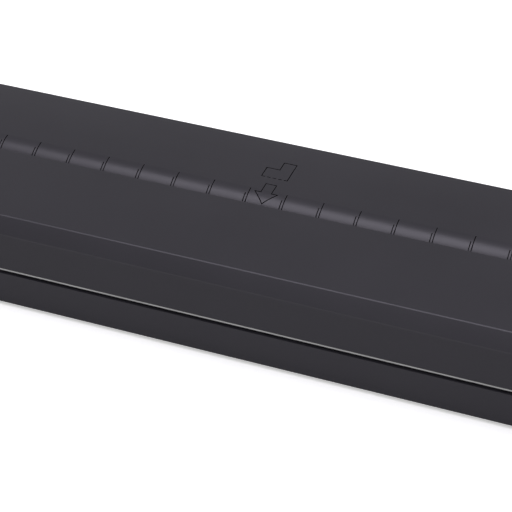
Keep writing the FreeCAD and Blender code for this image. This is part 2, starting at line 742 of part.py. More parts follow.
def top_cover():
    ends = ((-COVER_HALF, RIB_WALL - COVER_HALF), (COVER_HALF - RIB_WALL, COVER_HALF))
    ribs = [cover_rib(x0, x1) for x0, x1 in list(cover_rib_spans()) + list(ends)]
    cover = join([cover_skin()] + ribs)
    slot = PINCH_SHAFT_RADIUS + RUNNING
    hinge_end = COVER_HALF - HINGE_PIN_IN_COVER - HINGE_PIN_PLAY
    half = COVER_HALF - RIB_WALL
    holes = [
        rod(slot, -half, half, FEED_Y, PINCH_Z),
        box(-half, half, FEED_Y - slot, FEED_Y + slot, RIB_FOOT_Z - 1, PINCH_Z),
        rod(EXIT_IDLER_SHAFT_RADIUS + RUNNING, -half, half, EXIT_Y, EXIT_IDLER_Z),
        rod(HINGE_PIN_RADIUS + RUNNING, -COVER_HALF - 1, -hinge_end, HINGE_Y, HINGE_Z),
        rod(HINGE_PIN_RADIUS + RUNNING, hinge_end, COVER_HALF + 1, HINGE_Y, HINGE_Z),
    ]
    return cover.cut(Part.makeCompound(holes))


def hinge_pins():
    start = COVER_HALF - HINGE_PIN_IN_COVER
    end = END_X + HINGE_PIN_IN_END
    return [
        rod(HINGE_PIN_RADIUS, -end, -start, HINGE_Y, HINGE_Z),
        rod(HINGE_PIN_RADIUS, start, end, HINGE_Y, HINGE_Z),
    ]


def roller_windows(radius, sleeve, y, z):
    """Clear space round a row of rollers."""
    windows = []
    for x in ROLLER_PLACES:
        windows.append(rod(radius + AROUND_ROLLER, x - sleeve / 2 - 1, x + sleeve / 2 + 1, y, z))
    return Part.makeCompound(windows)


def upper_guide():
    back = INNER_TURN - UPPER_GUIDE_WALL
    front_y = SENSOR_BACK_Y + GUIDE_TO_SENSOR
    outline = [
        (front_y, UPPER_GUIDE_Z),
        (TURN_Y, UPPER_GUIDE_Z),
        (on_circle(TURN_Y, TURN_Z, INNER_TURN, 225), (TURN_Y + INNER_TURN, TURN_Z)),
        (TURN_Y + back, TURN_Z),
        (on_circle(TURN_Y, TURN_Z, back, 225), (TURN_Y, RIB_FOOT_Z)),
        (front_y, RIB_FOOT_Z),
    ]
    guide = prism_x(outline, RIB_WALL - COVER_HALF, COVER_HALF - RIB_WALL)
    return guide.cut(roller_windows(PINCH_RADIUS, FEED_SLEEVE, FEED_Y, PINCH_Z))


def backing_plate():
    low_z = SENSOR_TOP_Z + BACKING_GAP
    half = SENSOR_LENGTH / 2
    front_y = SENSOR_FRONT_Y + BACKING_INSET
    plate = box(-half, half, front_y, SENSOR_BACK_Y, low_z, RIB_FOOT_Z)
    for y in (front_y, SENSOR_BACK_Y):
        plate = plate.makeChamfer(BACKING_EDGE, edges_along_x(plate, y, low_z))
    return plate


# ---------------------------------------------------------------- rollers

def sleeves(radius, shaft_radius, length, y, z):
    rollers = []
    for x in ROLLER_PLACES:
        sleeve = rounded_rod(radius, x - length / 2, x + length / 2, y, z)
        rollers.append(sleeve.cut(rod(shaft_radius, x - length, x + length, y, z)))
    return rollers


def shaft_end_x():
    return PLATE_OUT_X + CLIP_THICKNESS + SHAFT_OVERHANG


def feed_shaft():
    return rounded_rod(FEED_SHAFT_RADIUS, -shaft_end_x(), GEAR_X + GEAR_WIDTH, *FEED, SHAFT_EDGE)


def exit_shaft():
    return rounded_rod(EXIT_SHAFT_RADIUS, -shaft_end_x(), GEAR_X + GEAR_WIDTH, *EXIT, SHAFT_EDGE)


def cover_shaft(radius, z, y):
    half = RIB_PLACES[-1] + COVER_SHAFT_OVERHANG
    return rounded_rod(radius, -half, half, y, z, SHAFT_EDGE)


def shaft_clip(radius, x, y, z):
    """An open ring that keeps a shaft or a gear in its place."""
    ring = rod(radius + CLIP_WALL, x, x + CLIP_THICKNESS, y, z)
    ring = ring.cut(rod(radius, x - 1, x + CLIP_THICKNESS + 1, y, z))
    mouth = radius * CLIP_MOUTH
    return ring.cut(box(x - 1, x + 2, y - mouth, y + mouth, z, z + 2 * radius + 2))


def bushes(radius, y, z):
    """A flanged bush in each side plate."""
    pair = []
    for side in (-1, 1):
        sleeve = rod(radius + RUNNING + BUSH_WALL, PLATE_X, PLATE_OUT_X, y, z)
        flange = rod(radius + RUNNING + 2 * BUSH_WALL, PLATE_X - BUSH_FLANGE, PLATE_X, y, z)
        bush = sleeve.fuse(flange).cut(rod(radius + RUNNING, PLATE_X - 2, PLATE_OUT_X + 2, y, z))
        pair.append(bush if side > 0 else bush.mirror(V(0, 0, 0), X_AXIS))
    return pair


# ---------------------------------------------------------------- gears

def pitch_radius(teeth):
    return MODULE * teeth / 2


def involute(angle):
    return math.tan(angle) - angle


def half_tooth(teeth, radius):
    """Half the angle that a tooth covers at this radius."""
    base = pitch_radius(teeth) * math.cos(PRESSURE_ANGLE)
    at_pitch = TOOTH_FULLNESS * math.pi / (2 * teeth)
    here = math.acos(min(1.0, base / radius)) if radius > base else 0.0
    return at_pitch + involute(PRESSURE_ANGLE) - involute(here)


def gear_blank(teeth, phase, x0, x1, y, z):
    """A spur gear along X, with a tooth at the angle phase from +Y towards +Z."""
    pitch = pitch_radius(teeth)
    root = pitch - DEDENDUM
    tip = pitch + ADDENDUM
    radii = [root, pitch - 0.5 * ADDENDUM, pitch + 0.3 * ADDENDUM, tip]
    points = []
    for i in range(teeth):
        middle = phase + 2 * math.pi * i / teeth
        flank = [(r, half_tooth(teeth, r)) for r in radii]
        for r, spread in flank:
            points.append((r, middle - spread))
        for r, spread in reversed(flank):
            points.append((r, middle + spread))
    corners = [V(x0, y + r * math.cos(a), z + r * math.sin(a)) for r, a in points]
    face = Part.Face(Part.makePolygon(corners + [corners[0]]))
    return face.extrude(V(x1 - x0, 0, 0))


def meshing_phase(teeth, centre, driver_teeth, driver_phase, driver_centre):
    """The phase that puts a gap of this gear over the driver's tooth on the line of centres."""
    angle = math.atan2(centre[1] - driver_centre[1], centre[0] - driver_centre[0])
    part = (angle - driver_phase) / (2 * math.pi / driver_teeth)
    return angle + math.pi - (0.5 - part) * 2 * math.pi / teeth


def third_corner(first, first_reach, second, second_reach):
    """The place this far from both centres, on the upper side of the line between them."""
    dy, dz = second[0] - first[0], second[1] - first[1]
    span = math.hypot(dy, dz)
    along = (first_reach ** 2 - second_reach ** 2 + span ** 2) / (2 * span)
    rise = math.sqrt(first_reach ** 2 - along ** 2)
    y, z = (first[0] + along * dy / span, first[1] + along * dz / span)
    up = 1 if dy > 0 else -1
    return (y - up * rise * dz / span, z + up * rise * dy / span)


def reach(*teeth):
    return sum(pitch_radius(n) for n in teeth)


FEED = (FEED_Y, FEED_Z)
EXIT = (EXIT_Y, EXIT_Z)
MOTOR = (MOTOR_Y, MOTOR_Z)
FRONT_IDLER = third_corner(FEED, reach(FEED_TEETH, FRONT_IDLER_TEETH),
                           EXIT, reach(EXIT_TEETH, FRONT_IDLER_TEETH))
REDUCTION = (REDUCTION_Y, REDUCTION_Z)
REAR_IDLER = third_corner(REDUCTION, reach(LARGE_TEETH, REAR_IDLER_TEETH),
                          MOTOR, reach(PINION_TEETH, REAR_IDLER_TEETH))
FEED_PHASE = 0.0
FRONT_IDLER_PHASE = meshing_phase(FRONT_IDLER_TEETH, FRONT_IDLER, FEED_TEETH, FEED_PHASE, FEED)
EXIT_PHASE = meshing_phase(EXIT_TEETH, EXIT, FRONT_IDLER_TEETH, FRONT_IDLER_PHASE, FRONT_IDLER)
REDUCTION_PHASE = meshing_phase(SMALL_TEETH, REDUCTION, FEED_TEETH, FEED_PHASE, FEED)
REAR_IDLER_PHASE = meshing_phase(REAR_IDLER_TEETH, REAR_IDLER, LARGE_TEETH, REDUCTION_PHASE, REDUCTION)
PINION_PHASE = meshing_phase(PINION_TEETH, MOTOR, REAR_IDLER_TEETH, REAR_IDLER_PHASE, REAR_IDLER)


def bored_gear(teeth, phase, centre, x0, x1, bore):
    blank = gear_blank(teeth, phase, x0, x1, *centre)
    return blank.cut(rod(bore, x0 - 1, x1 + 1, *centre))


def feed_gear():
    return bored_gear(FEED_TEETH, FEED_PHASE, FEED, GEAR_X, GEAR_X + GEAR_WIDTH, FEED_SHAFT_RADIUS)


def exit_gear():
    return bored_gear(EXIT_TEETH, EXIT_PHASE, EXIT, GEAR_X, GEAR_X + GEAR_WIDTH, EXIT_SHAFT_RADIUS)


def front_idler_gear():
    bore = GEAR_PIN_RADIUS + RUNNING
    end = GEAR_X + GEAR_WIDTH
    return bored_gear(FRONT_IDLER_TEETH, FRONT_IDLER_PHASE, FRONT_IDLER, GEAR_X, end, bore)


def reduction_gear():
    small = gear_blank(SMALL_TEETH, REDUCTION_PHASE, GEAR_X, OUTER_GEAR_X, *REDUCTION)
    large = gear_blank(LARGE_TEETH, REDUCTION_PHASE, OUTER_GEAR_X, OUTER_GEAR_END_X, *REDUCTION)
    bore = rod(GEAR_PIN_RADIUS + RUNNING, GEAR_X - 1, OUTER_GEAR_END_X + 1, *REDUCTION)
    return small.fuse(large).cut(bore)


def rear_idler_gear():
    hub = rod(REAR_IDLER_HUB_RADIUS, GEAR_X, OUTER_GEAR_X, *REAR_IDLER)
    blank = gear_blank(REAR_IDLER_TEETH, REAR_IDLER_PHASE, OUTER_GEAR_X, OUTER_GEAR_END_X, *REAR_IDLER)
    bore = rod(GEAR_PIN_RADIUS + RUNNING, GEAR_X - 1, OUTER_GEAR_END_X + 1, *REAR_IDLER)
    return hub.fuse(blank).cut(bore)


def motor_pinion():
    return bored_gear(PINION_TEETH, PINION_PHASE, MOTOR, OUTER_GEAR_X, OUTER_GEAR_END_X,
                      MOTOR_SHAFT_RADIUS)


def gear_pin_places():
    """Each pin's centre, and where its gear ends."""
    return (
        (FRONT_IDLER, GEAR_X + GEAR_WIDTH),
        (REDUCTION, OUTER_GEAR_END_X),
        (REAR_IDLER, OUTER_GEAR_END_X),
    )


def gear_pins():
    pins = []
    for centre, gear_end in gear_pin_places():
        shank = rod(GEAR_PIN_RADIUS, PLATE_X, gear_end + 2 * CLIP_THICKNESS + CLIP_PLAY, *centre)
        collar = rod(2 * GEAR_PIN_RADIUS, PLATE_OUT_X, GEAR_X - CLIP_PLAY, *centre)
        pins.append(shank.fuse(collar))
    return pins


def gear_clips():
    return [shaft_clip(GEAR_PIN_RADIUS, end + CLIP_PLAY, *centre) for centre, end in gear_pin_places()]


# ---------------------------------------------------------------- side plates and motor

def plate_foot(y0, y1):
    return box(PLATE_X, PLATE_OUT_X + PLATE_FOOT, y0, y1, FLOOR_Z, FLOOR_Z + PLATE_WALL)


def plate_holes():
    grip = RUNNING + BUSH_WALL
    return [
        rod(FEED_SHAFT_RADIUS + grip, PLATE_X - 1, PLATE_OUT_X + 1, *FEED),
        rod(EXIT_SHAFT_RADIUS + grip, PLATE_X - 1, PLATE_OUT_X + 1, *EXIT),
    ]


def screw_holes(side):
    return [
        post(SMALL_SCREW_RADIUS, FLOOR_Z - 1, FLOOR_Z + PLATE_WALL + 1, abs(x), y)
        for x, y in plate_screw_places() if x * side > 0
    ]


def right_side_plate():
    front = FRONT_Y + WALL + PLATE_TO_WALL
    back = BACK_Y - WALL - PLATE_TO_WALL
    top = CEILING_Z - PLATE_TO_CEILING
    outline = [
        (front, FLOOR_Z),
        (back, FLOOR_Z),
        (back, top),
        (THROAT_Y + PLATE_OVER_THROAT, top),
        (FRONT_IDLER[0], FRONT_IDLER[1] + PLATE_OVER_IDLER),
        (EXIT_Y + PLATE_PAST_EXIT, HINGE_Z + PLATE_OVER_HINGE),
        (EXIT_Y - PLATE_PAST_EXIT, PARTING_Z),
        (front, PARTING_Z),
    ]
    plate = prism_x(outline, PLATE_X, PLATE_OUT_X)
    plate = plate.fuse(plate_foot(*(MOTOR_Y + offset for offset in RIGHT_PLATE_FOOT)))
    holes = plate_holes() + screw_holes(1)
    holes += [rod(GEAR_PIN_RADIUS, PLATE_X - 1, PLATE_OUT_X + 1, *c) for c, _ in gear_pin_places()]
    holes.append(rod(MOTOR_COLLAR_RADIUS, PLATE_X - 1, PLATE_OUT_X + 1, *MOTOR))
    holes += [rod(SMALL_SCREW_RADIUS, PLATE_X - 1, PLATE_OUT_X + 1, *c) for c in motor_ear_places()]
    return plate.cut(Part.makeCompound(holes))


def left_side_plate():
    front = FRONT_Y + WALL + PLATE_TO_WALL
    back = FEED_Y + LEFT_PLATE_BACK
    outline = [(front, FLOOR_Z), (back, FLOOR_Z), (back, PARTING_Z), (front, PARTING_Z)]
    foot = plate_foot(*(FEED_Y + offset for offset in LEFT_PLATE_FOOT))
    plate = prism_x(outline, PLATE_X, PLATE_OUT_X).fuse(foot)
    plate = plate.cut(Part.makeCompound(plate_holes() + screw_holes(-1)))
    return plate.mirror(V(0, 0, 0), X_AXIS)


def plate_screws():
    screws = []
    seat = FLOOR_Z + PLATE_WALL
    for x, y in plate_screw_places():
        screws.append(screw_down(x, y, seat, PLATE_WALL + PLATE_SCREW_BITE))
    return screws


def motor_ear_places():
    turn = math.radians(MOTOR_EAR_ANGLE)
    dy, dz = MOTOR_EAR_REACH * math.cos(turn), MOTOR_EAR_REACH * math.sin(turn)
    return ((MOTOR_Y + dy, MOTOR_Z + dz), (MOTOR_Y - dy, MOTOR_Z - dz))


def motor_can():
    end = PLATE_X
    can = rounded_rod(MOTOR_RADIUS, end - MOTOR_LENGTH, end, MOTOR_Y, MOTOR_Z, MOTOR_EDGE)
    start = end - MOTOR_EAR_WALL
    ears = [rod(MOTOR_EAR_RADIUS, start, end, *centre) for centre in motor_ear_places()]
    bar = box(start, end, MOTOR_Y - MOTOR_EAR_REACH, MOTOR_Y + MOTOR_EAR_REACH,
              MOTOR_Z - MOTOR_EAR_RADIUS, MOTOR_Z + MOTOR_EAR_RADIUS)
    bar.rotate(V(0, MOTOR_Y, MOTOR_Z), X_AXIS, MOTOR_EAR_ANGLE)
    terminal = box(motor_cable_ends()[1][0], end - 4, MOTOR_Y, CABLE_Y + CABLE_WIDTH / 2 + 1,
                   MOTOR_Z - MOTOR_RADIUS - 1.5, MOTOR_Z - 0.6 * MOTOR_RADIUS)
    motor = join([can, bar, terminal] + ears)
    bores = [rod(MOTOR_SHAFT_RADIUS + RUNNING, end - MOTOR_BORE_DEPTH, end + 1, MOTOR_Y, MOTOR_Z)]
    bores += [rod(SMALL_SCREW_RADIUS, start - 1, end + 1, *centre) for centre in motor_ear_places()]
    return motor.cut(Part.makeCompound(bores))


def motor_shaft():
    return rod(MOTOR_SHAFT_RADIUS, PLATE_X - MOTOR_SHAFT_IN_CAN, OUTER_GEAR_END_X, MOTOR_Y, MOTOR_Z)


def motor_screws():
    screws = []
    seat = PLATE_X - MOTOR_EAR_WALL
    for y, z in motor_ear_places():
        shank = rod(SMALL_SCREW_RADIUS, seat, PLATE_OUT_X, y, z)
        head = rod(SMALL_HEAD_RADIUS, seat - SMALL_HEAD, seat, y, z)
        screws.append(shank.fuse(head))
    return screws


# ---------------------------------------------------------------- image sensor

def glass_box():
    inset = SENSOR_WALL
    half = SENSOR_LENGTH / 2 - inset
    return box(-half, half, SENSOR_FRONT_Y + inset, SENSOR_BACK_Y - inset,
               SENSOR_TOP_Z - GLASS_THICKNESS, SENSOR_TOP_Z)


def lens_box():
    half = SENSOR_LENGTH / 2 - LENS_FROM_END
    top = SENSOR_TOP_Z - GLASS_THICKNESS - LENS_GAP
    return box(-half, half, SENSOR_Y - LENS_WIDTH / 2, SENSOR_Y + LENS_WIDTH / 2, top - LENS_HEIGHT, top)


def light_guide_rod():
    half = SENSOR_LENGTH / 2 - LENS_FROM_END
    y = SENSOR_Y - LENS_WIDTH / 2 - LIGHT_GUIDE_RADIUS - LENS_GAP
    z = SENSOR_TOP_Z - GLASS_THICKNESS - LIGHT_GUIDE_RADIUS - LIGHT_GUIDE_DROP
    return rod(LIGHT_GUIDE_RADIUS, -half, half, y, z)


def sensor_frame():
    half = SENSOR_LENGTH / 2
    body = box(-half, half, SENSOR_FRONT_Y, SENSOR_BACK_Y, SENSOR_BODY_Z, SENSOR_TOP_Z)
    lens = lens_box()
    guide = light_guide_rod()
    lens_way = lens.fuse(lens.translated(V(0, 0, 1)))
    guide_box = guide.BoundBox
    guide_way = box(guide_box.XMin, guide_box.XMax, guide_box.YMin, guide_box.YMax,
                    guide_box.ZMin, guide_box.ZMax + 1)
    sight = box(guide_box.XMin, guide_box.XMax, SENSOR_Y - SENSOR_SLIT / 2, SENSOR_Y + SENSOR_SLIT / 2,
                SENSOR_BODY_Z - 1, SENSOR_TOP_Z)
    return body.cut(Part.makeCompound([glass_box(), lens_way, guide_way, sight]))


def sensor_board():
    half = SENSOR_LENGTH / 2
    board = box(-half, half, SENSOR_FRONT_Y, SENSOR_BACK_Y, SENSOR_BOARD_Z, SENSOR_BODY_Z)
    side = RIBBON_WIDTH / 2 + SENSOR_TONGUE_MARGIN
    tongue = box(RIBBON_X - side, RIBBON_X + side, SENSOR_BACK_Y, SENSOR_BACK_Y + SENSOR_TONGUE,
                 SENSOR_BOARD_Z, SENSOR_BODY_Z)
    return board.fuse(tongue)


# ---------------------------------------------------------------- lower guide and sheet sensor

def guide_rib(x0, x1):
    """A leg of the lower guide, behind the feed roller, down to the floor."""
    back = TURN_RADIUS + LOWER_GUIDE_WALL
    foot = FEED_Y + FEED_RADIUS + GUIDE_LEG_TO_ROLLER
    edge_z = TURN_Z - math.sqrt(back ** 2 - (foot - TURN_Y) ** 2)
    outline = [
        (foot, FLOOR_Z), (TURN_Y + back, FLOOR_Z), (TURN_Y + back, TURN_Z),
        (on_circle(TURN_Y, TURN_Z, back, 240), (foot, edge_z)),
    ]
    return prism_x(outline, x0, x1)


def lower_guide():
    back = TURN_RADIUS + LOWER_GUIDE_WALL
    front_y = SENSOR_BACK_Y + GUIDE_TO_SENSOR
    half = PLATE_X - BUSH_FLANGE - GUIDE_TO_BUSH
    outline = [
        (front_y, PARTING_Z),
        (TURN_Y, PARTING_Z),
        (on_circle(TURN_Y, TURN_Z, TURN_RADIUS, 225), (THROAT_Y, TURN_Z)),
        (THROAT_Y, LIP_Z),
        (TURN_Y + back, LIP_Z),
        (TURN_Y + back, TURN_Z),
        (on_circle(TURN_Y, TURN_Z, back, 225), (TURN_Y, PARTING_Z - LOWER_GUIDE_WALL)),
        (front_y, PARTING_Z - LOWER_GUIDE_WALL),
    ]
    guide = prism_x(outline, -half, half)
    legs = [guide_rib(x - RIB_WALL / 2, x + RIB_WALL / 2) for x in GUIDE_LEG_PLACES]
    guide = join([guide] + legs + lever_ears())
    cuts = [roller_windows(FEED_RADIUS, FEED_SLEEVE, FEED_Y, FEED_Z)]
    cuts.append(box(-LEVER_WALL, LEVER_WALL, TURN_Y + 1, LEVER_Y, PARTING_Z - 2, LEVER_Z + 5))
    cuts.append(rod(LEVER_PIN_RADIUS, -10, 10, LEVER_Y, LEVER_Z))
    return guide.cut(Part.makeCompound(cuts))


def lever_ears():
    """Two ears behind the guide that hold the sheet lever's pin."""
    ears = []
    for side in (-1, 1):
        near = side * (LEVER_WALL / 2 + LEVER_EAR_GAP + LEVER_WALL / 2)
        far = side * (LEVER_WALL / 2 + LEVER_EAR_GAP + LEVER_WALL * 1.5)
        x0, x1 = sorted((near, far))
        ear = rod(LEVER_HUB_RADIUS, x0, x1, LEVER_Y, LEVER_Z)
        arm = box(x0, x1, THROAT_Y - 2.0, LEVER_Y, LEVER_Z - LEVER_ARM / 2, LEVER_Z + LEVER_ARM / 2)
        space = rod(TURN_RADIUS, x0 - 1, x1 + 1, TURN_Y, TURN_Z)
        ears.append(ear.fuse(arm).cut(space))
    return ears


def lever_pin():
    half = LEVER_WALL * 2 + LEVER_EAR_GAP
    return rod(LEVER_PIN_RADIUS, -half, half, LEVER_Y, LEVER_Z)


def sheet_lever():
    """A two-armed lever: its nose stands in the sheet's way, its flag in the light gate."""
    half = LEVER_WALL / 2
    nose_y, nose_z = on_circle(TURN_Y, TURN_Z, TURN_RADIUS - NOSE_INTO_PATH, NOSE_ANGLE)
    above, below = (LEVER_Y, LEVER_Z + LEVER_ARM / 2), (LEVER_Y, LEVER_Z - LEVER_ARM / 2)
    nose_top = (nose_y + NOSE_TIP[0], nose_z + NOSE_TIP[1])
    nose = prism_x([below, above, nose_top, (nose_y, nose_z)], -half, half)
    flag_end = [(LEVER_Y + y, LEVER_Z + z) for y, z in (FLAG_LOW, FLAG_HIGH)]
    flag = prism_x([above, below] + flag_end, -half, half)
    lever = join([rod(LEVER_HUB_RADIUS, -half, half, LEVER_Y, LEVER_Z), nose, flag])
    return lever.cut(rod(LEVER_PIN_RADIUS + RUNNING, -half - 1, half + 1, LEVER_Y, LEVER_Z))


def light_gate():
    """A U-shaped light gate that stands on the floor round the lever's flag."""
    y0, y1 = (LEVER_Y + offset for offset in GATE_SPAN)
    half, slot = GATE_HALF_WIDTH, GATE_SLOT_HALF_WIDTH
    foot = FLOOR_Z + BOARD_WALL
    block = box(-half, half, y0, y1, foot, LEVER_Z - GATE_UNDER_PIN)
    return block.cut(box(-slot, slot, y0 - 1, y1 + 1, foot + GATE_FLOOR, LEVER_Z))


def gate_board():
    y0, y1 = (LEVER_Y + offset for offset in GATE_BOARD_SPAN)
    half = GATE_BOARD_HALF_WIDTH
    return box(-half, half, y0, y1, FLOOR_Z, FLOOR_Z + BOARD_WALL)


# ---------------------------------------------------------------- electronics

def main_board():
    board = box(BOARD_LEFT_X, BOARD_RIGHT_X, BOARD_FRONT_Y, BOARD_BACK_Y,
                BOARD_Z, BOARD_Z + BOARD_WALL)
    holes = [post(SMALL_SCREW_RADIUS, BOARD_Z - 1, BOARD_Z + 3, x, y) for x, y in board_post_places()]
    return board.cut(Part.makeCompound(holes))


def screw_down(x, y, seat, depth, sense=-1):
    """A small screw with its head on a seat, and its shank going down, or up where sense is 1."""
    z0, z1 = sorted((seat, seat + sense * depth))
    head0, head1 = sorted((seat, seat - sense * SMALL_HEAD))
    screw = post(SMALL_SCREW_RADIUS, z0, z1, x, y).fuse(post(SMALL_HEAD_RADIUS, head0, head1, x, y))
    return cross_recess(screw, x, y, seat - sense * SMALL_HEAD, SMALL_HEAD_RADIUS, sense)


def board_screws():
    top, under = BOARD_Z + BOARD_WALL, KEY_BOARD_Z - BOARD_WALL
    length = BOARD_WALL + BOARD_SCREW_BITE
    screws = [screw_down(x, y, top, length) for x, y in board_post_places()]
    return screws + [screw_down(x, y, under, length, 1) for x, y in key_board_posts()]


def board_chips():
    """The processor, the memory, the motor driver and a row of small capacitors."""
    top = BOARD_Z + BOARD_WALL
    middle = BOARD_FRONT_Y + BOARD_DEPTH / 2
    chips = []
    for x, side_x, side_y in CHIP_SIZES:
        low_y = middle - side_y / 2
        chips.append(box(x, x + side_x, low_y, low_y + side_y, top, top + CHIP_HEIGHT))
    for i in range(CAPACITOR_COUNT):
        x = BOARD_RIGHT_X - CAPACITORS_FROM_RIGHT + CAPACITOR_PITCH * i
        y = BOARD_FRONT_Y + CAPACITORS_FROM_FRONT
        chips.append(post(CAPACITOR_RADIUS, top, top + CAPACITOR_HEIGHT, x, y))
    return chips


def usb_port():
    x0 = -LENGTH / 2 + PORT_RECESS
    shell = port_opening(0.0, x0, x0 + PORT_BODY + BOARD_START)
    shell = shell.cut(port_opening(-PORT_WALL, x0 - 1, x0 + PORT_BODY))
    middle = BOARD_FRONT_Y + BOARD_DEPTH / 2
    height = BOARD_Z + BOARD_WALL + PORT_HEIGHT / 2
    tongue = box(x0 + TONGUE_RECESS, x0 + PORT_BODY, middle - TONGUE_HALF_WIDTH, middle + TONGUE_HALF_WIDTH,
                 height - TONGUE_HALF_HEIGHT, height + TONGUE_HALF_HEIGHT)
    return shell.fuse(tongue)


def ribbon_cable():
    """The flat cable from the sensor's board to the socket under the main board."""
    x0 = RIBBON_X - RIBBON_WIDTH / 2
    low = SENSOR_BODY_Z
    high = BOARD_Z - RIBBON_DROP
    start, end = SENSOR_BACK_Y + RIBBON_ON_SENSOR, BOARD_FRONT_Y + RIBBON_UNDER_BOARD
    rise0, rise1 = THROAT_Y + RIBBON_BEHIND_THROAT, BOARD_FRONT_Y - RIBBON_BEFORE_BOARD
    outline = [
        (start, low), (rise0, low), (rise1, high), (end, high),
        (end, high + RIBBON_WALL), (rise1, high + RIBBON_WALL),
        (rise0, low + RIBBON_WALL), (start, low + RIBBON_WALL),
    ]
    return prism_x(outline, x0, x0 + RIBBON_WIDTH)


def ribbon_sockets():
    """A clamp on the sensor's board and a socket under the main board, round the ribbon's ends."""
    half = RIBBON_WIDTH / 2 + SOCKET_MARGIN
    x0, x1 = RIBBON_X - half, RIBBON_X + half
    clamp0, clamp1 = (SENSOR_BACK_Y + offset for offset in CLAMP_SPAN)
    socket0, socket1 = (BOARD_FRONT_Y + offset for offset in SOCKET_SPAN)
    near = box(x0, x1, clamp0, clamp1, SENSOR_BODY_Z, SENSOR_BODY_Z + CLAMP_HEIGHT)
    far = box(x0, x1, socket0, socket1, BOARD_Z - SOCKET_HEIGHT, BOARD_Z)
    ribbon = ribbon_cable()
    return [near.cut(ribbon), far.cut(ribbon)]


def flat_run(points, width_y, y):
    """A flat cable in an XZ plane, through these points, with round bends."""
    edges = []
    here = V(points[0][0], y, points[0][1])
    for i in range(1, len(points) - 1):
        corner = V(points[i][0], y, points[i][1])
        after = V(points[i + 1][0], y, points[i + 1][1])
        before = V(points[i - 1][0], y, points[i - 1][1])
        cut = 0.45 * min(corner.distanceToPoint(before), corner.distanceToPoint(after))
        into = (before - corner).normalize()
        out = (after - corner).normalize()
        half_angle = into.getAngle(out) / 2
        radius = cut * math.tan(half_angle)
        bisector = (into + out).normalize()
        centre = corner + bisector * (radius / math.sin(half_angle))
        start, end = corner + into * cut, corner + out * cut
        edges.append(Part.LineSegment(here, start).toShape())
        edges.append(Part.Arc(start, centre - bisector * radius, end).toShape())
        here = end
    edges.append(Part.LineSegment(here, V(points[-1][0], y, points[-1][1])).toShape())
    section = Part.Face(Part.makePolygon([
        V(points[0][0], y - width_y / 2, points[0][1] - CABLE_WALL / 2),
        V(points[0][0], y + width_y / 2, points[0][1] - CABLE_WALL / 2),
        V(points[0][0], y + width_y / 2, points[0][1] + CABLE_WALL / 2),
        V(points[0][0], y - width_y / 2, points[0][1] + CABLE_WALL / 2),
        V(points[0][0], y - width_y / 2, points[0][1] - CABLE_WALL / 2),
    ]))
    return Part.Wire(edges).makePipe(section)


def motor_cable_ends():
    """Where the motor's cable leaves the main board's socket, and where it meets the motor."""
    start = (BOARD_RIGHT_X + CABLE_OFF_BOARD, BOARD_Z + BOARD_WALL + CABLE_OVER_BOARD)
    end = (PLATE_X - MOTOR_LENGTH + CABLE_IN_MOTOR, MOTOR_Z - MOTOR_RADIUS - CABLE_UNDER_MOTOR)
    return start, end


def motor_cable():
    start, end = motor_cable_ends()
    low = FLOOR_Z + CABLE_WALL / 2 + CABLE_TO_FLOOR
    route = [
        start,
        (start[0] + CABLE_LEVEL_RUN, start[1]),
        (start[0] + CABLE_SLOPE, low),
        (end[0] - CABLE_SLOPE, low),
        (end[0] - CABLE_RISE_RUN, end[1]),
        end,
    ]
    return flat_run(route, CABLE_WIDTH, CABLE_Y)


def motor_cable_socket():
    start, _ = motor_cable_ends()
    half = CABLE_WIDTH / 2 + CABLE_SOCKET_MARGIN
    top = BOARD_Z + BOARD_WALL
    return box(start[0] - CABLE_SOCKET_DEPTH, start[0], CABLE_Y - half, CABLE_Y + half,
               top, top + CABLE_SOCKET_HEIGHT)


# ---------------------------------------------------------------- button and lamp

def key_board_posts():
    for y in (BUTTON_Y - KEY_POST_FORWARD, LAMP_Y + KEY_POST_BEHIND):
        yield BUTTON_X, y


def key_board():
    half = KEY_BOARD_HALF_WIDTH
    board = box(BUTTON_X - half, BUTTON_X + half, BUTTON_Y - KEY_BOARD_FORWARD, LAMP_Y + KEY_BOARD_BEHIND,
                KEY_BOARD_Z - BOARD_WALL, KEY_BOARD_Z)
    for x, y in key_board_posts():
        board = board.cut(post(SMALL_SCREW_RADIUS, KEY_BOARD_Z - 3, KEY_BOARD_Z + 1, x, y))
    return board


def key_switch():
    x0, y0 = BUTTON_X - SWITCH_SIDE / 2, BUTTON_Y - SWITCH_SIDE / 2
    body = box(x0, x0 + SWITCH_SIDE, y0, y0 + SWITCH_SIDE, KEY_BOARD_Z, SWITCH_TOP_Z)
    low = SWITCH_TOP_Z - SWITCH_BORE
    bore = post(SWITCH_PLUNGER_RADIUS + RUNNING, low, SWITCH_TOP_Z + 1, BUTTON_X, BUTTON_Y)
    return body.cut(bore)


def switch_plunger():
    low = SWITCH_TOP_Z - SWITCH_PLUNGER_IN
    return post(SWITCH_PLUNGER_RADIUS, low, PLUNGER_TOP_Z, BUTTON_X, BUTTON_Y)


def power_button():
    cap = post(BUTTON_RADIUS, CEILING_Z, HEIGHT, BUTTON_X, BUTTON_Y)
    rim = [e for e in cap.Edges if e.BoundBox.ZMin > HEIGHT - 1e-6]
    cap = cap.makeFillet(BUTTON_EDGE, rim)
    flange = post(BUTTON_RADIUS + BUTTON_RIM, CEILING_Z - BUTTON_FLANGE, CEILING_Z, BUTTON_X, BUTTON_Y)
    stem = post(BUTTON_STEM_RADIUS, PLUNGER_TOP_Z, CEILING_Z - BUTTON_FLANGE, BUTTON_X, BUTTON_Y)
    return join([cap, flange, stem])


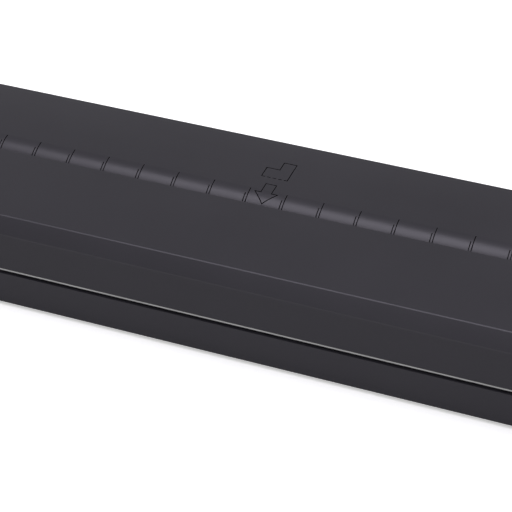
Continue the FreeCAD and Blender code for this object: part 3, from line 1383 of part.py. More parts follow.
def lamp_pipe():
    """The clear pin that carries the status lamp's light to the top."""
    pin = post(LAMP_RADIUS, KEY_BOARD_Z + LAMP_HEIGHT + LAMP_GAP, HEIGHT, BUTTON_X, LAMP_Y)
    return pin.fuse(post(LAMP_RADIUS + LAMP_RIM, CEILING_Z - LAMP_FLANGE, CEILING_Z, BUTTON_X, LAMP_Y))


def status_lamp():
    top = KEY_BOARD_Z + LAMP_HEIGHT
    half_x, half_y = LAMP_HALF_LENGTH, LAMP_HALF_WIDTH
    return box(BUTTON_X - half_x, BUTTON_X + half_x, LAMP_Y - half_y, LAMP_Y + half_y, KEY_BOARD_Z, top)


# ---------------------------------------------------------------- all parts

def main():
    os.makedirs("parts", exist_ok=True)
    export("base_shell", base_shell())
    export("label_plate", label_plate())
    export("rubber_feet", *rubber_feet())
    export("case_screws", *case_screws())
    export("rear_shelf", rear_shelf())
    export("left_end_cover", left_end_shell())
    export("right_end_cover", right_end_shell())
    export("top_cover", top_cover())
    export("hinge_pins", *hinge_pins())
    export("upper_guide", upper_guide())
    export("lower_guide", lower_guide())
    export("backing_plate", backing_plate())
    export("feed_shaft", feed_shaft())
    export("feed_rollers", *sleeves(FEED_RADIUS, FEED_SHAFT_RADIUS, FEED_SLEEVE, *FEED))
    export("feed_bushes", *bushes(FEED_SHAFT_RADIUS, *FEED))
    export("feed_clip", shaft_clip(FEED_SHAFT_RADIUS, -PLATE_OUT_X - CLIP_THICKNESS - SHAFT_CLIP_GAP, *FEED))
    export("exit_shaft", exit_shaft())
    export("exit_rollers", *sleeves(EXIT_RADIUS, EXIT_SHAFT_RADIUS, EXIT_SLEEVE, *EXIT))
    export("exit_bushes", *bushes(EXIT_SHAFT_RADIUS, *EXIT))
    export("exit_clip", shaft_clip(EXIT_SHAFT_RADIUS, -PLATE_OUT_X - CLIP_THICKNESS - SHAFT_CLIP_GAP, *EXIT))
    export("pinch_shaft", cover_shaft(PINCH_SHAFT_RADIUS, PINCH_Z, FEED_Y))
    export("pinch_rollers", *sleeves(PINCH_RADIUS, PINCH_SHAFT_RADIUS, FEED_SLEEVE - 2, FEED_Y, PINCH_Z))
    export("exit_idler_shaft", cover_shaft(EXIT_IDLER_SHAFT_RADIUS, EXIT_IDLER_Z, EXIT_Y))
    export("exit_idlers", *sleeves(EXIT_IDLER_RADIUS, EXIT_IDLER_SHAFT_RADIUS, EXIT_SLEEVE - 2,
                                   EXIT_Y, EXIT_IDLER_Z))
    export("right_side_plate", right_side_plate())
    export("left_side_plate", left_side_plate())
    export("plate_screws", *plate_screws())
    export("feed_gear", feed_gear())
    export("exit_gear", exit_gear())
    export("front_idler_gear", front_idler_gear())
    export("reduction_gear", reduction_gear())
    export("rear_idler_gear", rear_idler_gear())
    export("motor_pinion", motor_pinion())
    export("gear_pins", *gear_pins())
    export("gear_clips", *gear_clips())
    export("motor_can", motor_can())
    export("motor_shaft", motor_shaft())
    export("motor_screws", *motor_screws())
    export("sensor_frame", sensor_frame())
    export("sensor_glass", glass_box())
    export("lens_array", lens_box())
    export("light_guide", light_guide_rod())
    export("sensor_board", sensor_board())
    export("sheet_lever", sheet_lever())
    export("lever_pin", lever_pin())
    export("light_gate", light_gate())
    export("gate_board", gate_board())
    export("main_board", main_board())
    export("board_chips", *board_chips())
    export("board_screws", *board_screws())
    export("usb_port", usb_port())
    export("ribbon_cable", ribbon_cable())
    export("board_sockets", *ribbon_sockets(), motor_cable_socket())
    export("motor_cable", motor_cable())
    export("key_board", key_board())
    export("key_switch", key_switch())
    export("switch_plunger", switch_plunger())
    export("power_button", power_button())
    export("lamp_pipe", lamp_pipe())
    export("status_lamp", status_lamp())


main()
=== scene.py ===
# %% [markdown]
# # A slim sheet-fed document scanner
# The scanner is a bar as long as a sheet is wide. A sheet drops into the slot in its top, turns round a
# curved lip, passes a line sensor and leaves at the foot of the front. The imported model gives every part
# in metres, already in place. This file gives the parts their finishes, adds the small pieces that only
# matter to the eye, and sets up a plain studio.

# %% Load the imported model
import json
import math
import random

import bmesh
import bpy
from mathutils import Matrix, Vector


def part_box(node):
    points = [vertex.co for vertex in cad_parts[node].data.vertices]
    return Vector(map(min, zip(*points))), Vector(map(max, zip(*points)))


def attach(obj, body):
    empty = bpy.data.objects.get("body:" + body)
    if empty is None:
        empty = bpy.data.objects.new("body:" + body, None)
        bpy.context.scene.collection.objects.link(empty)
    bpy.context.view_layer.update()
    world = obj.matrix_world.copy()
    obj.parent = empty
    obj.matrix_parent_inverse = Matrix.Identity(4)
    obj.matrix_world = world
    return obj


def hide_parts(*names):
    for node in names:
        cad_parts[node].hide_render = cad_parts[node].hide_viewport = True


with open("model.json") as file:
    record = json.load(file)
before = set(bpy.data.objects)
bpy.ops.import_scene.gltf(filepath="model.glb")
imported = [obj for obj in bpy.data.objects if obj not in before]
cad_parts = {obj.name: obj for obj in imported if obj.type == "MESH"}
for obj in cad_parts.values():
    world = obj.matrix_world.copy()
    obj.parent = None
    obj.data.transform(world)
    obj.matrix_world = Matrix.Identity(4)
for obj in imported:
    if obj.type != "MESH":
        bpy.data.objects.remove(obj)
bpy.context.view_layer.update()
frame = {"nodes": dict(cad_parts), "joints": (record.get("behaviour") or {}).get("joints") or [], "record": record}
nodes = frame["nodes"]
MM = 0.001

# %% [markdown]
# ## Smooth shading for the CAD parts
# A CAD part arrives as loose triangles, so a rounded lip would show its facets. The points could be merged
# by hand, but the parts must stay as they are. A Weld modifier merges them on the fly, and a small node
# tree then smooths every edge that turns by less than a limit, so curves are smooth and corners stay crisp.

# %% A node tree that smooths by angle
SMOOTH_LIMIT = math.radians(24)
MERGE_WITHIN = 0.002 * MM


def new_tree(name, inputs):
    """A geometry node group with a geometry input and output, and these named number inputs."""
    tree = bpy.data.node_groups.new(name, "GeometryNodeTree")
    tree.interface.new_socket("Geometry", in_out="INPUT", socket_type="NodeSocketGeometry")
    for label, kind, value in inputs:
        socket = tree.interface.new_socket(label, in_out="INPUT", socket_type=kind)
        socket.default_value = value
    tree.interface.new_socket("Geometry", in_out="OUTPUT", socket_type="NodeSocketGeometry")
    return tree, tree.nodes.new("NodeGroupInput"), tree.nodes.new("NodeGroupOutput")


def add(tree, kind, sockets=None, **settings):
    """A node with its settings, and each named socket either linked or set to a value."""
    made = tree.nodes.new(kind)
    for name, value in settings.items():
        setattr(made, name, value)
    for name, value in (sockets or {}).items():
        socket = made.inputs[name]
        if isinstance(value, bpy.types.NodeSocket):
            tree.links.new(value, socket)
        else:
            socket.default_value = value
    return made


def smoothing_tree():
    tree, given, result = new_tree("smooth by angle", [("Limit", "NodeSocketFloat", SMOOTH_LIMIT)])
    faces = add(
        tree, "GeometryNodeSetShadeSmooth", {"Geometry": given.outputs["Geometry"]}, domain="FACE",
    )
    angle = add(tree, "GeometryNodeInputMeshEdgeAngle")
    gentle = add(
        tree, "FunctionNodeCompare",
        {"A": angle.outputs["Unsigned Angle"], "B": given.outputs["Limit"]},
        operation="LESS_THAN",
    )
    edges = add(
        tree, "GeometryNodeSetShadeSmooth",
        {"Geometry": faces.outputs["Geometry"], "Shade Smooth": gentle.outputs["Result"]},
        domain="EDGE",
    )
    tree.links.new(edges.outputs["Geometry"], result.inputs["Geometry"])
    return tree


smooth_by_angle = smoothing_tree()


def smooth(piece):
    """Merged points and smooth curves, by two modifiers that leave the part's own points alone."""
    weld = piece.modifiers.new("merge points", "WELD")
    weld.merge_threshold = MERGE_WITHIN
    smoother = piece.modifiers.new("smooth by angle", "NODES")
    smoother.node_group = smooth_by_angle


for part in nodes.values():
    smooth(part)
print("smoothed", len(nodes), "parts")

# %% [markdown]
# ## Building blocks for the finishes
# Real finishes are never one flat colour. Each finish below is built from the same few ideas: a slow drift
# of tone, a fine grain that lifts the surface, a change of gloss, light wear where an edge is rubbed, and
# painted shade inside a groove. All of them read the object's own coordinates or its own shape, so the grain has
# its true size and everything stays with the part when it moves.


# %% Helpers that finishes share
# How well the true and the rounded normal agree, on a full edge and on a flat face.
EDGE_TURN = (0.82, 0.995)
# How open a surface is, deep in a groove and on an open face.
GROOVE_SHADE = (0.45, 0.95)


class Finish:
    """A material under construction: its tree, its shader and the object's own coordinates."""

    def __init__(self, name, **values):
        self.material = bpy.data.materials.new(name)
        self.material.use_nodes = True
        self.tree = self.material.node_tree
        self.shader = self.tree.nodes["Principled BSDF"]
        self.place = self.add("ShaderNodeTexCoord").outputs["Object"]
        for socket, value in values.items():
            self.shader.inputs[socket.replace("_", " ")].default_value = value

    def add(self, kind, sockets=None, **settings):
        return add(self.tree, kind, sockets, **settings)

    def stretch(self, x, y, z):
        """The coordinates, scaled along each axis, for a grain that runs one way."""
        return self.add("ShaderNodeMapping", {"Vector": self.place, "Scale": (x, y, z)}).outputs[0]

    def noise(self, size, detail=3.0, place=None, roughness=0.55):
        """Soft noise whose features are about this many millimetres across."""
        sockets = {"Vector": place or self.place, "Scale": 1 / (size * MM), "Detail": detail}
        sockets["Roughness"] = roughness
        return self.add("ShaderNodeTexNoise", sockets).outputs["Fac"]

    def cells(self, size, feature="F1", place=None):
        """The distance to the nearest of scattered points, which lie about this many millimetres apart."""
        sockets = {"Vector": place or self.place, "Scale": 1 / (size * MM)}
        return self.add("ShaderNodeTexVoronoi", sockets, feature=feature).outputs["Distance"]

    def span(self, factor, low, high, start=0.0, end=1.0):
        """A number that runs from low to high as the factor runs from start to end."""
        sockets = {"Value": factor, "From Min": start, "From Max": end, "To Min": low, "To Max": high}
        return self.add("ShaderNodeMapRange", sockets).outputs["Result"]

    def math(self, operation, a, b):
        made = self.add("ShaderNodeMath", operation=operation)
        for socket, value in zip(made.inputs, (a, b)):
            if isinstance(value, bpy.types.NodeSocket):
                self.tree.links.new(value, socket)
            else:
                socket.default_value = value
        return made.outputs[0]

    def blend(self, factor, first, second):
        """One colour passing into another. A colour is a socket or three numbers."""
        made = self.add("ShaderNodeMix", {"Factor": factor}, data_type="RGBA")
        for socket, value in ((made.inputs[6], first), (made.inputs[7], second)):
            if isinstance(value, bpy.types.NodeSocket):
                self.tree.links.new(value, socket)
            else:
                socket.default_value = (*value, 1.0)
        return made.outputs[2]

    def edges(self, width):
        """0 on a face and up to 1 along an outer or inner edge, over this many millimetres."""
        true = self.add("ShaderNodeNewGeometry").outputs["Normal"]
        round_over = self.add("ShaderNodeBevel", {"Radius": width * MM}, samples=4).outputs["Normal"]
        close = self.add("ShaderNodeVectorMath", {0: true, 1: round_over}, operation="DOT_PRODUCT")
        return self.span(close.outputs["Value"], 1.0, 0.0, *EDGE_TURN)

    # The mask for the painted shade in grooves.
    def hollows(self, reach):
        """1 on an open face, and down to 0 in a groove whose walls are within this many millimetres."""
        shaded = self.add(
            "ShaderNodeAmbientOcclusion", {"Distance": reach * MM}, samples=6, only_local=True,
        )
        return self.span(shaded.outputs["AO"], 0.0, 1.0, *GROOVE_SHADE)

    def lift(self, height, depth, strength=1.0):
        """Raises the surface by up to this many millimetres where the height is 1."""
        sockets = {"Height": height, "Distance": depth * MM, "Strength": strength}
        bump = self.add("ShaderNodeBump", sockets)
        self.tree.links.new(bump.outputs["Normal"], self.shader.inputs["Normal"])

    def set(self, socket, value):
        """Drives one socket of the shader."""
        self.tree.links.new(value, self.shader.inputs[socket])


def shade(colour, amount):
    """A colour made darker or lighter by this factor."""
    return tuple(channel * amount for channel in colour)


print("finish helpers ready")

# %% [markdown]
# ## The case plastic
# The case is injection-moulded plastic, near black and slightly violet. Its mould was spark-eroded, which
# leaves a fine even grain that softens reflections. One coarse noise would look like cloud, so two fine
# sizes are added: a grain of about 0.3 mm and one a third of that. Tone and gloss drift very slightly over
# the length, and the edges are rubbed a touch paler. Engraved lines get painted shade: their colour is
# darkened where little light reaches into them, and they are made dull.

# %% Moulded plastics
CASE_COLOUR = (0.0250, 0.0236, 0.0296)
COOL_SHEEN = (0.98, 0.96, 1.0, 1.0)
GLOSS_DRIFT = 0.015
# How dark the painted shade in a groove is, as a share of the colour.
GROOVE_PAINTED_SHADE = 0.12
GRAIN_TONE = 1.25
# In millimetres, as the helpers take them.
DRIFT_SIZE = 38.0
EDGE_WEAR_WIDTH = 0.35
GROOVE_REACH = 0.7


def moulded(name, colour, rough, grain, depth, drift=0.06, wear=0.10, gloss=0.3, **values):
    """A moulded plastic with a spark-eroded grain of this size and depth in millimetres."""
    made = Finish(name, Roughness=rough, **values)
    made.shader.inputs["Specular Tint"].default_value = COOL_SHEEN
    slow = made.noise(DRIFT_SIZE, 2.0)
    fine = made.noise(grain, 2.0)
    body = made.blend(
        made.span(slow, 0, 1, 0.3, 0.7), shade(colour, 1 - drift), shade(colour, 1 + drift),
    )
    speck = made.blend(made.span(fine, 0, 0.5, 0.35, 0.75), body, shade(colour, GRAIN_TONE))
    patches = made.span(made.noise(1.6, 3.0), 0.3, 1.0, 0.3, 0.7)
    worn = made.math("MULTIPLY", made.edges(EDGE_WEAR_WIDTH), patches)
    pale = tuple(channel + wear * (0.35 - 0.3 * channel) for channel in colour)
    surface = made.blend(made.math("MULTIPLY", worn, 0.5), speck, pale)
    # Painted shade: the colour is darkened in grooves, where little light reaches, and the grooves are made duller
    # and less glossy.
    open_face = made.hollows(GROOVE_REACH)
    made.set("Base Color", made.blend(open_face, shade(colour, GROOVE_PAINTED_SHADE), surface))
    drifting = made.span(slow, rough - GLOSS_DRIFT, rough + GLOSS_DRIFT, 0.3, 0.7)
    dull_grooves = made.span(open_face, 1.0, rough - 0.1, 0.0, 0.8)
    made.set("Roughness", made.math("MAXIMUM", drifting, dull_grooves))
    made.set("Specular IOR Level", made.span(open_face, 0.05, gloss, 0.1, 0.9))
    height = made.math("ADD", fine, made.math("MULTIPLY", made.noise(grain / 3, 1.0), 0.4))
    made.lift(height, depth)
    return made.material


def case_plastic():
    return moulded("spark-grained case plastic", CASE_COLOUR, 0.36, 0.30, 0.010, gloss=0.5)


def guide_plastic():
    return moulded("smooth guide plastic", (0.017, 0.017, 0.019), 0.34, 0.22, 0.004)


def white_backing():
    return moulded("white backing plastic", (0.78, 0.78, 0.76), 0.42, 0.5, 0.006, drift=0.03, wear=0.0)


def idler_plastic():
    return moulded("pale idler plastic", (0.52, 0.52, 0.50), 0.36, 0.4, 0.004, drift=0.05)


def socket_nylon():
    return moulded("natural nylon", (0.68, 0.62, 0.50), 0.44, 0.3, 0.005, drift=0.08)


def chip_epoxy():
    return moulded("chip epoxy", (0.026, 0.026, 0.028), 0.55, 0.16, 0.006, wear=0.15)


def gear_acetal():
    """Gear plastic, which lets a little light in under its surface."""
    made = moulded("natural acetal", (0.74, 0.73, 0.67), 0.33, 0.5, 0.003, drift=0.05)
    inputs = made.node_tree.nodes["Principled BSDF"].inputs
    inputs["Subsurface Weight"].default_value = 0.15
    inputs["Subsurface Radius"].default_value = (1.0 * MM, 1.0 * MM, 0.8 * MM)
    return made


print("moulded plastics ready")

# %% [markdown]
# ## Rubber, label film and cable jacket
# The rollers are ground rubber: the wheel leaves fine rings round each roller, so their grain is short
# along X and drawn out round the roller. The feet are moulded softer rubber. The label is blank film with a
# thin printed border.


# %% Rubbers and films
def ground_rubber():
    made = Finish("ground roller rubber", Roughness=0.72)
    rings = made.noise(1.0, 3.0, made.stretch(3.4, 0.05, 0.05))
    dust = made.noise(2.4, 4.0)
    bare = made.blend(rings, (0.075, 0.077, 0.082), (0.125, 0.127, 0.132))
    dusty = made.blend(made.span(dust, 0.0, 0.5, 0.5, 0.8), bare, (0.26, 0.26, 0.255))
    made.set("Base Color", dusty)
    made.set("Roughness", made.span(dust, 0.62, 0.85, 0.3, 0.7))
    made.lift(rings, 0.02)
    return made.material


def foot_rubber():
    made = Finish("moulded foot rubber", Roughness=0.8)
    dust = made.noise(1.8, 4.0)
    settled = made.span(dust, 0, 0.6, 0.45, 0.8)
    made.set("Base Color", made.blend(settled, (0.022, 0.022, 0.023), (0.12, 0.118, 0.11)))
    made.set("Roughness", made.span(dust, 0.7, 0.92, 0.3, 0.7))
    made.lift(made.noise(0.25, 3.0), 0.02)
    return made.material


BORDER_INSET = 1.2 * MM
BORDER_HALF_WIDTH = 0.12 * MM


def from_middle(made, name):
    """The distances along X, Y and Z from the middle of a CAD part, and half of its size."""
    low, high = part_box(name)
    sockets = {"Vector": made.place, "Location": -(low + high) / 2}
    moved = made.add("ShaderNodeMapping", sockets).outputs[0]
    split = made.add("ShaderNodeSeparateXYZ", {"Vector": moved})
    return [split.outputs[axis] for axis in "XYZ"], (high - low) / 2


def label_film():
    made = Finish("blank label film", Roughness=0.33)
    (x, y, _), half = from_middle(made, "label_plate")
    along = made.math("SUBTRACT", half.x - BORDER_INSET, made.math("ABSOLUTE", x, 0))
    across = made.math("SUBTRACT", half.y - BORDER_INSET, made.math("ABSOLUTE", y, 0))
    edge = made.math("ABSOLUTE", made.math("MINIMUM", along, across), 0)
    line = made.math("LESS_THAN", edge, BORDER_HALF_WIDTH)
    film = made.blend(made.noise(9.0, 3.0), (0.27, 0.27, 0.28), (0.33, 0.33, 0.34))
    made.set("Base Color", made.blend(line, film, (0.60, 0.60, 0.60)))
    made.set("Roughness", made.span(made.noise(3.0, 3.0), 0.28, 0.42, 0.3, 0.7))
    made.lift(made.noise(0.5, 2.0), 0.004)
    return made.material


def cable_jacket():
    made = Finish("flat cable jacket", Roughness=0.5)
    ribs = made.noise(1.0, 1.0, made.stretch(0.1, 1.2, 0.1))
    made.set("Base Color", made.blend(ribs, (0.075, 0.075, 0.08), (0.13, 0.13, 0.14)))
    made.set("Roughness", made.span(made.noise(3.0), 0.42, 0.58, 0.3, 0.7))
    made.lift(ribs, 0.05)
    return made.material


print("rubbers and films ready")

# %% [markdown]
# ## Metals
# Shafts and pins are turned, so their fine lines run round the bar: the grain is short along X and drawn
# out round it. The side plates are zinc-plated sheet with a faint brushed grain. Screws are black zinc,
# worn to metal on the edges of their recess. The bushes are sintered bronze, whose pores show as dark
# specks.


# %% Turned, plated and sintered metals
def turned_steel():
    made = Finish("turned steel", Metallic=1.0, Roughness=0.26)
    lines = made.noise(0.35, 2.0, made.stretch(1.0, 0.04, 0.04))
    film = made.noise(5.0, 3.0)
    made.set("Base Color", made.blend(film, (0.52, 0.52, 0.54), (0.66, 0.66, 0.67)))
    made.set("Roughness", made.span(made.math("ADD", lines, film), 0.18, 0.40, 0.6, 1.4))
    made.lift(lines, 0.006)
    return made.material


def zinc_sheet():
    made = Finish("zinc-plated sheet", Metallic=1.0, Roughness=0.38)
    brush = made.noise(0.6, 2.0, made.stretch(1.0, 0.06, 1.0))
    bloom = made.noise(7.0, 4.0)
    made.set("Base Color", made.blend(bloom, (0.46, 0.47, 0.49), (0.60, 0.61, 0.62)))
    made.set("Roughness", made.span(made.math("ADD", brush, bloom), 0.28, 0.5, 0.6, 1.4))
    made.lift(brush, 0.008)
    return made.material


def black_zinc():
    made = Finish("black zinc screws", Metallic=0.85, Roughness=0.42)
    worn = made.math("MULTIPLY", made.edges(0.12), made.span(made.noise(0.5), 0.1, 1.0, 0.4, 0.6))
    tone = made.blend(made.noise(1.2, 3.0), (0.035, 0.035, 0.04), (0.075, 0.075, 0.08))
    made.set("Base Color", made.blend(worn, tone, (0.42, 0.42, 0.43)))
    made.set("Roughness", made.span(made.noise(0.8), 0.34, 0.52, 0.3, 0.7))
    made.lift(made.noise(0.2), 0.006)
    return made.material


def sintered_bronze():
    made = Finish("sintered bronze", Metallic=1.0, Roughness=0.45)
    pores = made.span(made.cells(0.18), 0.0, 1.0, 0.05, 0.35)
    tone = made.blend(made.noise(2.0, 3.0), (0.48, 0.30, 0.13), (0.58, 0.40, 0.19))
    made.set("Base Color", made.blend(pores, (0.16, 0.09, 0.04), tone))
    made.set("Roughness", made.span(pores, 0.65, 0.38))
    made.lift(pores, 0.01)
    return made.material


def machined_brass():
    made = Finish("machined brass", Metallic=1.0, Roughness=0.28)
    lines = made.noise(0.25, 2.0, made.stretch(1.0, 0.05, 0.05))
    made.set("Base Color", made.blend(made.noise(1.5, 3.0), (0.68, 0.50, 0.22), (0.80, 0.63, 0.32)))
    made.set("Roughness", made.span(lines, 0.2, 0.38, 0.3, 0.7))
    made.lift(lines, 0.004)
    return made.material


def motor_can():
    made = Finish("plated motor can", Metallic=1.0, Roughness=0.34)
    rolled = made.noise(0.8, 2.0, made.stretch(0.05, 1.0, 1.0))
    smudge = made.noise(6.0, 4.0)
    made.set("Base Color", made.blend(smudge, (0.40, 0.40, 0.42), (0.53, 0.53, 0.54)))
    made.set("Roughness", made.span(made.math("ADD", rolled, smudge), 0.25, 0.48, 0.6, 1.4))
    made.lift(rolled, 0.006)
    return made.material


def nickel_port():
    made = Finish("nickel-plated shell", Metallic=1.0, Roughness=0.2)
    rub = made.noise(0.7, 2.0, made.stretch(0.1, 1.0, 1.0))
    made.set("Base Color", made.blend(made.noise(1.5, 3.0), (0.60, 0.59, 0.57), (0.70, 0.70, 0.69)))
    made.set("Roughness", made.span(rub, 0.14, 0.32, 0.3, 0.7))
    made.lift(rub, 0.003)
    return made.material


print("metals ready")

# %% [markdown]
# ## Glass, lens, light guide, lamp and boards
# The sensor glass is clear and slightly green, with a film of paper dust. Under it lies a row of
# tiny rod lenses, drawn here as round cells a third of a millimetre apart. The circuit boards are green
# solder mask over copper, so faint straight runs show through, lighter than the rest.


# %% Clear and electronic finishes
# In millimetres, as the helpers take them.
LENS_PITCH = 0.33
TRACK_PITCH = 4.0
WIRE_PITCH = 1.0
# The mark printed on the button.
RING_RADIUS = 1.5 * MM
PRINT_HALF_WIDTH = 0.14 * MM
RING_GAP_HALF = 0.5 * MM
BAR_START = 0.3 * MM
BAR_END = 1.9 * MM
PRINT_DEPTH = 0.2 * MM


def sensor_glass():
    made = Finish("sensor glass", Roughness=0.03, IOR=1.52)
    made.shader.inputs["Transmission Weight"].default_value = 0.92
    dust = made.span(made.noise(1.1, 5.0), 0.0, 1.0, 0.58, 0.8)
    made.set("Base Color", made.blend(dust, (0.86, 0.93, 0.90), (0.78, 0.80, 0.78)))
    made.set("Roughness", made.span(dust, 0.02, 0.22))
    made.lift(made.noise(8.0, 1.0), 0.003)
    return made.material


def rod_lenses():
    made = Finish("rod lens block", Roughness=0.25)
    flat = made.stretch(1.0, 1.0, 0.0)
    rods = made.span(made.cells(LENS_PITCH, place=flat), 1.0, 0.0, 0.25, 0.45)
    made.set("Base Color", made.blend(rods, (0.02, 0.02, 0.022), (0.16, 0.19, 0.22)))
    made.set("Roughness", made.span(rods, 0.42, 0.08))
    made.lift(rods, 0.02)
    return made.material


def clear_acrylic():
    made = Finish("clear acrylic", Roughness=0.1, IOR=1.49)
    made.shader.inputs["Transmission Weight"].default_value = 0.85
    bands = made.noise(1.4, 2.0)
    made.set("Base Color", made.blend(bands, (0.78, 0.83, 0.85), (0.88, 0.91, 0.92)))
    made.set("Roughness", made.span(bands, 0.06, 0.2, 0.3, 0.7))
    made.lift(made.noise(0.6), 0.006)
    return made.material


def circuit_board():
    made = Finish("green solder mask", Roughness=0.32)
    flat = made.stretch(1.0, 1.0, 0.0)
    sockets = {"Vector": flat, "Scale": 1 / (TRACK_PITCH * MM), "Mortar Size": 0.035, "Bias": 0.0}
    brick = made.add("ShaderNodeTexBrick", sockets, offset=0.37, squash=0.6, squash_frequency=3)
    copper = made.math("MULTIPLY", brick.outputs["Fac"], made.math("GREATER_THAN", made.noise(6.0), 0.46))
    mask = made.blend(made.noise(5.0, 3.0), (0.008, 0.085, 0.034), (0.012, 0.115, 0.048))
    made.set("Base Color", made.blend(copper, mask, (0.035, 0.23, 0.10)))
    made.set("Roughness", made.span(made.noise(2.5), 0.25, 0.4, 0.3, 0.7))
    made.lift(made.math("ADD", copper, made.math("MULTIPLY", made.noise(0.35), 0.2)), 0.03)
    return made.material


def ribbon_film():
    made = Finish("ribbon cable film", Roughness=0.28)
    split = made.add("ShaderNodeSeparateXYZ", {"Vector": made.place})
    phase = made.math("MULTIPLY", split.outputs["X"], 2 * math.pi / (WIRE_PITCH * MM))
    stripe = made.span(made.math("SINE", phase, 0), 0.0, 1.0, -0.25, 0.1)
    made.set("Base Color", made.blend(stripe, (0.66, 0.68, 0.70), (0.80, 0.79, 0.76)))
    made.set("Roughness", made.span(made.noise(3.0), 0.2, 0.36, 0.3, 0.7))
    made.lift(stripe, 0.03)
    return made.material


def button_plastic():
    """Satin black, with a pale ring and bar printed on the button's top."""
    made = Finish("satin button plastic", Roughness=0.3)
    (x, y, z), half = from_middle(made, "power_button")
    squares = made.math("ADD", made.math("MULTIPLY", x, x), made.math("MULTIPLY", y, y))
    off_ring = made.math("SUBTRACT", made.math("SQRT", squares, 0), RING_RADIUS)
    ring = made.math("LESS_THAN", made.math("ABSOLUTE", off_ring, 0), PRINT_HALF_WIDTH)
    beside = made.math("ABSOLUTE", x, 0)
    gap = made.math("GREATER_THAN", beside, RING_GAP_HALF)
    below = made.math("LESS_THAN", y, 0.0)
    open_ring = made.math("MULTIPLY", ring, made.math("MAXIMUM", gap, below))
    started = made.math("GREATER_THAN", y, BAR_START)
    upper = made.math("MULTIPLY", started, made.math("LESS_THAN", y, BAR_END))
    bar = made.math("MULTIPLY", made.math("LESS_THAN", beside, PRINT_HALF_WIDTH), upper)
    mark = made.math("MAXIMUM", open_ring, bar)
    on_top = made.math("GREATER_THAN", z, half.z - PRINT_DEPTH)
    top = made.math("MULTIPLY", mark, on_top)
    tone = made.blend(made.noise(3.0), (0.020, 0.020, 0.023), (0.028, 0.028, 0.031))
    made.set("Base Color", made.blend(top, tone, (0.42, 0.42, 0.43)))
    made.set("Roughness", made.span(made.noise(2.0), 0.24, 0.36, 0.3, 0.7))
    made.lift(made.noise(0.25), 0.004)
    return made.material


def frosted_lamp():
    made = Finish("frosted lamp", Roughness=0.4)
    made.shader.inputs["Transmission Weight"].default_value = 0.3
    haze = made.noise(0.5, 3.0)
    made.set("Base Color", made.blend(haze, (0.80, 0.81, 0.76), (0.92, 0.93, 0.88)))
    made.set("Roughness", made.span(haze, 0.32, 0.5, 0.3, 0.7))
    made.lift(haze, 0.008)
    return made.material


print("clear and electronic finishes ready")

# %% [markdown]
# ## Each part gets its finish
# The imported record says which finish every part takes, by the name of its slot. One table joins those
# names to the materials above, so a part added later needs no new line here.

# %% Assign the finishes
finishes = {
    "case_plastic": case_plastic(),
    "guide_plastic": guide_plastic(),
    "backing_white": white_backing(),
    "label_film": label_film(),
    "foot_rubber": foot_rubber(),
    "roller_rubber": ground_rubber(),
    "idler_plastic": idler_plastic(),
    "steel": turned_steel(),
    "plate_steel": zinc_sheet(),
    "black_screws": black_zinc(),
    "bronze": sintered_bronze(),
    "gear_plastic": gear_acetal(),
    "pinion_brass": machined_brass(),
    "motor_metal": motor_can(),
    "glass": sensor_glass(),
    "lens": rod_lenses(),
    "clear_plastic": clear_acrylic(),
    "circuit_board": circuit_board(),
    "chip_black": chip_epoxy(),
    "socket_plastic": socket_nylon(),
    "port_metal": nickel_port(),
    "ribbon": ribbon_film(),
    "cable_sheath": cable_jacket(),
    "button_plastic": button_plastic(),
    "lamp": frosted_lamp(),
}
for subpart in frame["record"]["subparts"]:
    part = nodes[subpart["node"]]
    part.material_slots[0].material = finishes[subpart["material_slot"]]

# %% [markdown]
# ## Small pieces that repeat
# Ribs round a roller, legs along a chip and parts on a board all repeat one small shape. Copies made in a
# loop would work, but a node tree states the rule once and can be tuned. So each kind below is a tree that
# puts its shape on a set of points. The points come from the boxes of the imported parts, and the result is
# turned into one plain mesh that rides on its body.


# %% Helpers for pieces made by a node tree
def solids(name):
    """The lowest and highest corner of each separate solid in a CAD part."""
    mesh = bmesh.new()
    mesh.from_mesh(nodes[name].data)
    bmesh.ops.remove_doubles(mesh, verts=mesh.verts, dist=MERGE_WITHIN)
    waiting = set(mesh.verts)
    boxes = []
    while waiting:
        group = [waiting.pop()]
        for vertex in group:
            fresh = {edge.other_vert(vertex) for edge in vertex.link_edges} & waiting
            waiting -= fresh
            group.extend(fresh)
        low = Vector([min(vertex.co[axis] for vertex in group) for axis in range(3)])
        high = Vector([max(vertex.co[axis] for vertex in group) for axis in range(3)])
        boxes.append((low, high))
    mesh.free()
    return sorted(boxes, key=lambda box: box[0].x)


def crisp(mesh):
    """Smooth shading that keeps sharp corners."""
    mesh.shade_smooth()
    mesh.set_sharp_from_angle(angle=SMOOTH_LIMIT)


def settle(name, mesh, body, stands_for=()):
    """A finished piece, which rides on its body and stands for these CAD parts."""
    piece = bpy.data.objects.new(name, mesh)
    bpy.context.collection.objects.link(piece)
    crisp(mesh)
    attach(piece, body)
    if stands_for:
        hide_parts(*stands_for)
    print(name, len(mesh.polygons), "faces")
    return piece


def grow(name, points, tree, values, body, stands_for=()):
    """The tree's shape on every point. Each point is a place and a turn about Z in radians."""
    seeds = bpy.data.meshes.new(name + " points")
    seeds.from_pydata([point[0] for point in points], [], [])
    turns = seeds.attributes.new("turn", "FLOAT", "POINT")
    for i, point in enumerate(points):
        turns.data[i].value = point[1]
    holder = bpy.data.objects.new(name + " points", seeds)
    bpy.context.collection.objects.link(holder)
    maker = holder.modifiers.new(name, "NODES")
    maker.node_group = tree
    inputs = [item for item in tree.interface.items_tree if item.in_out == "INPUT"]
    sockets = {item.name: item.identifier for item in inputs}
    for label, value in values.items():
        maker[sockets[label]] = value
    view = bpy.context.evaluated_depsgraph_get()
    mesh = bpy.data.meshes.new_from_object(holder.evaluated_get(view), depsgraph=view)
    bpy.data.objects.remove(holder)
    return settle(name, mesh, body, stands_for)


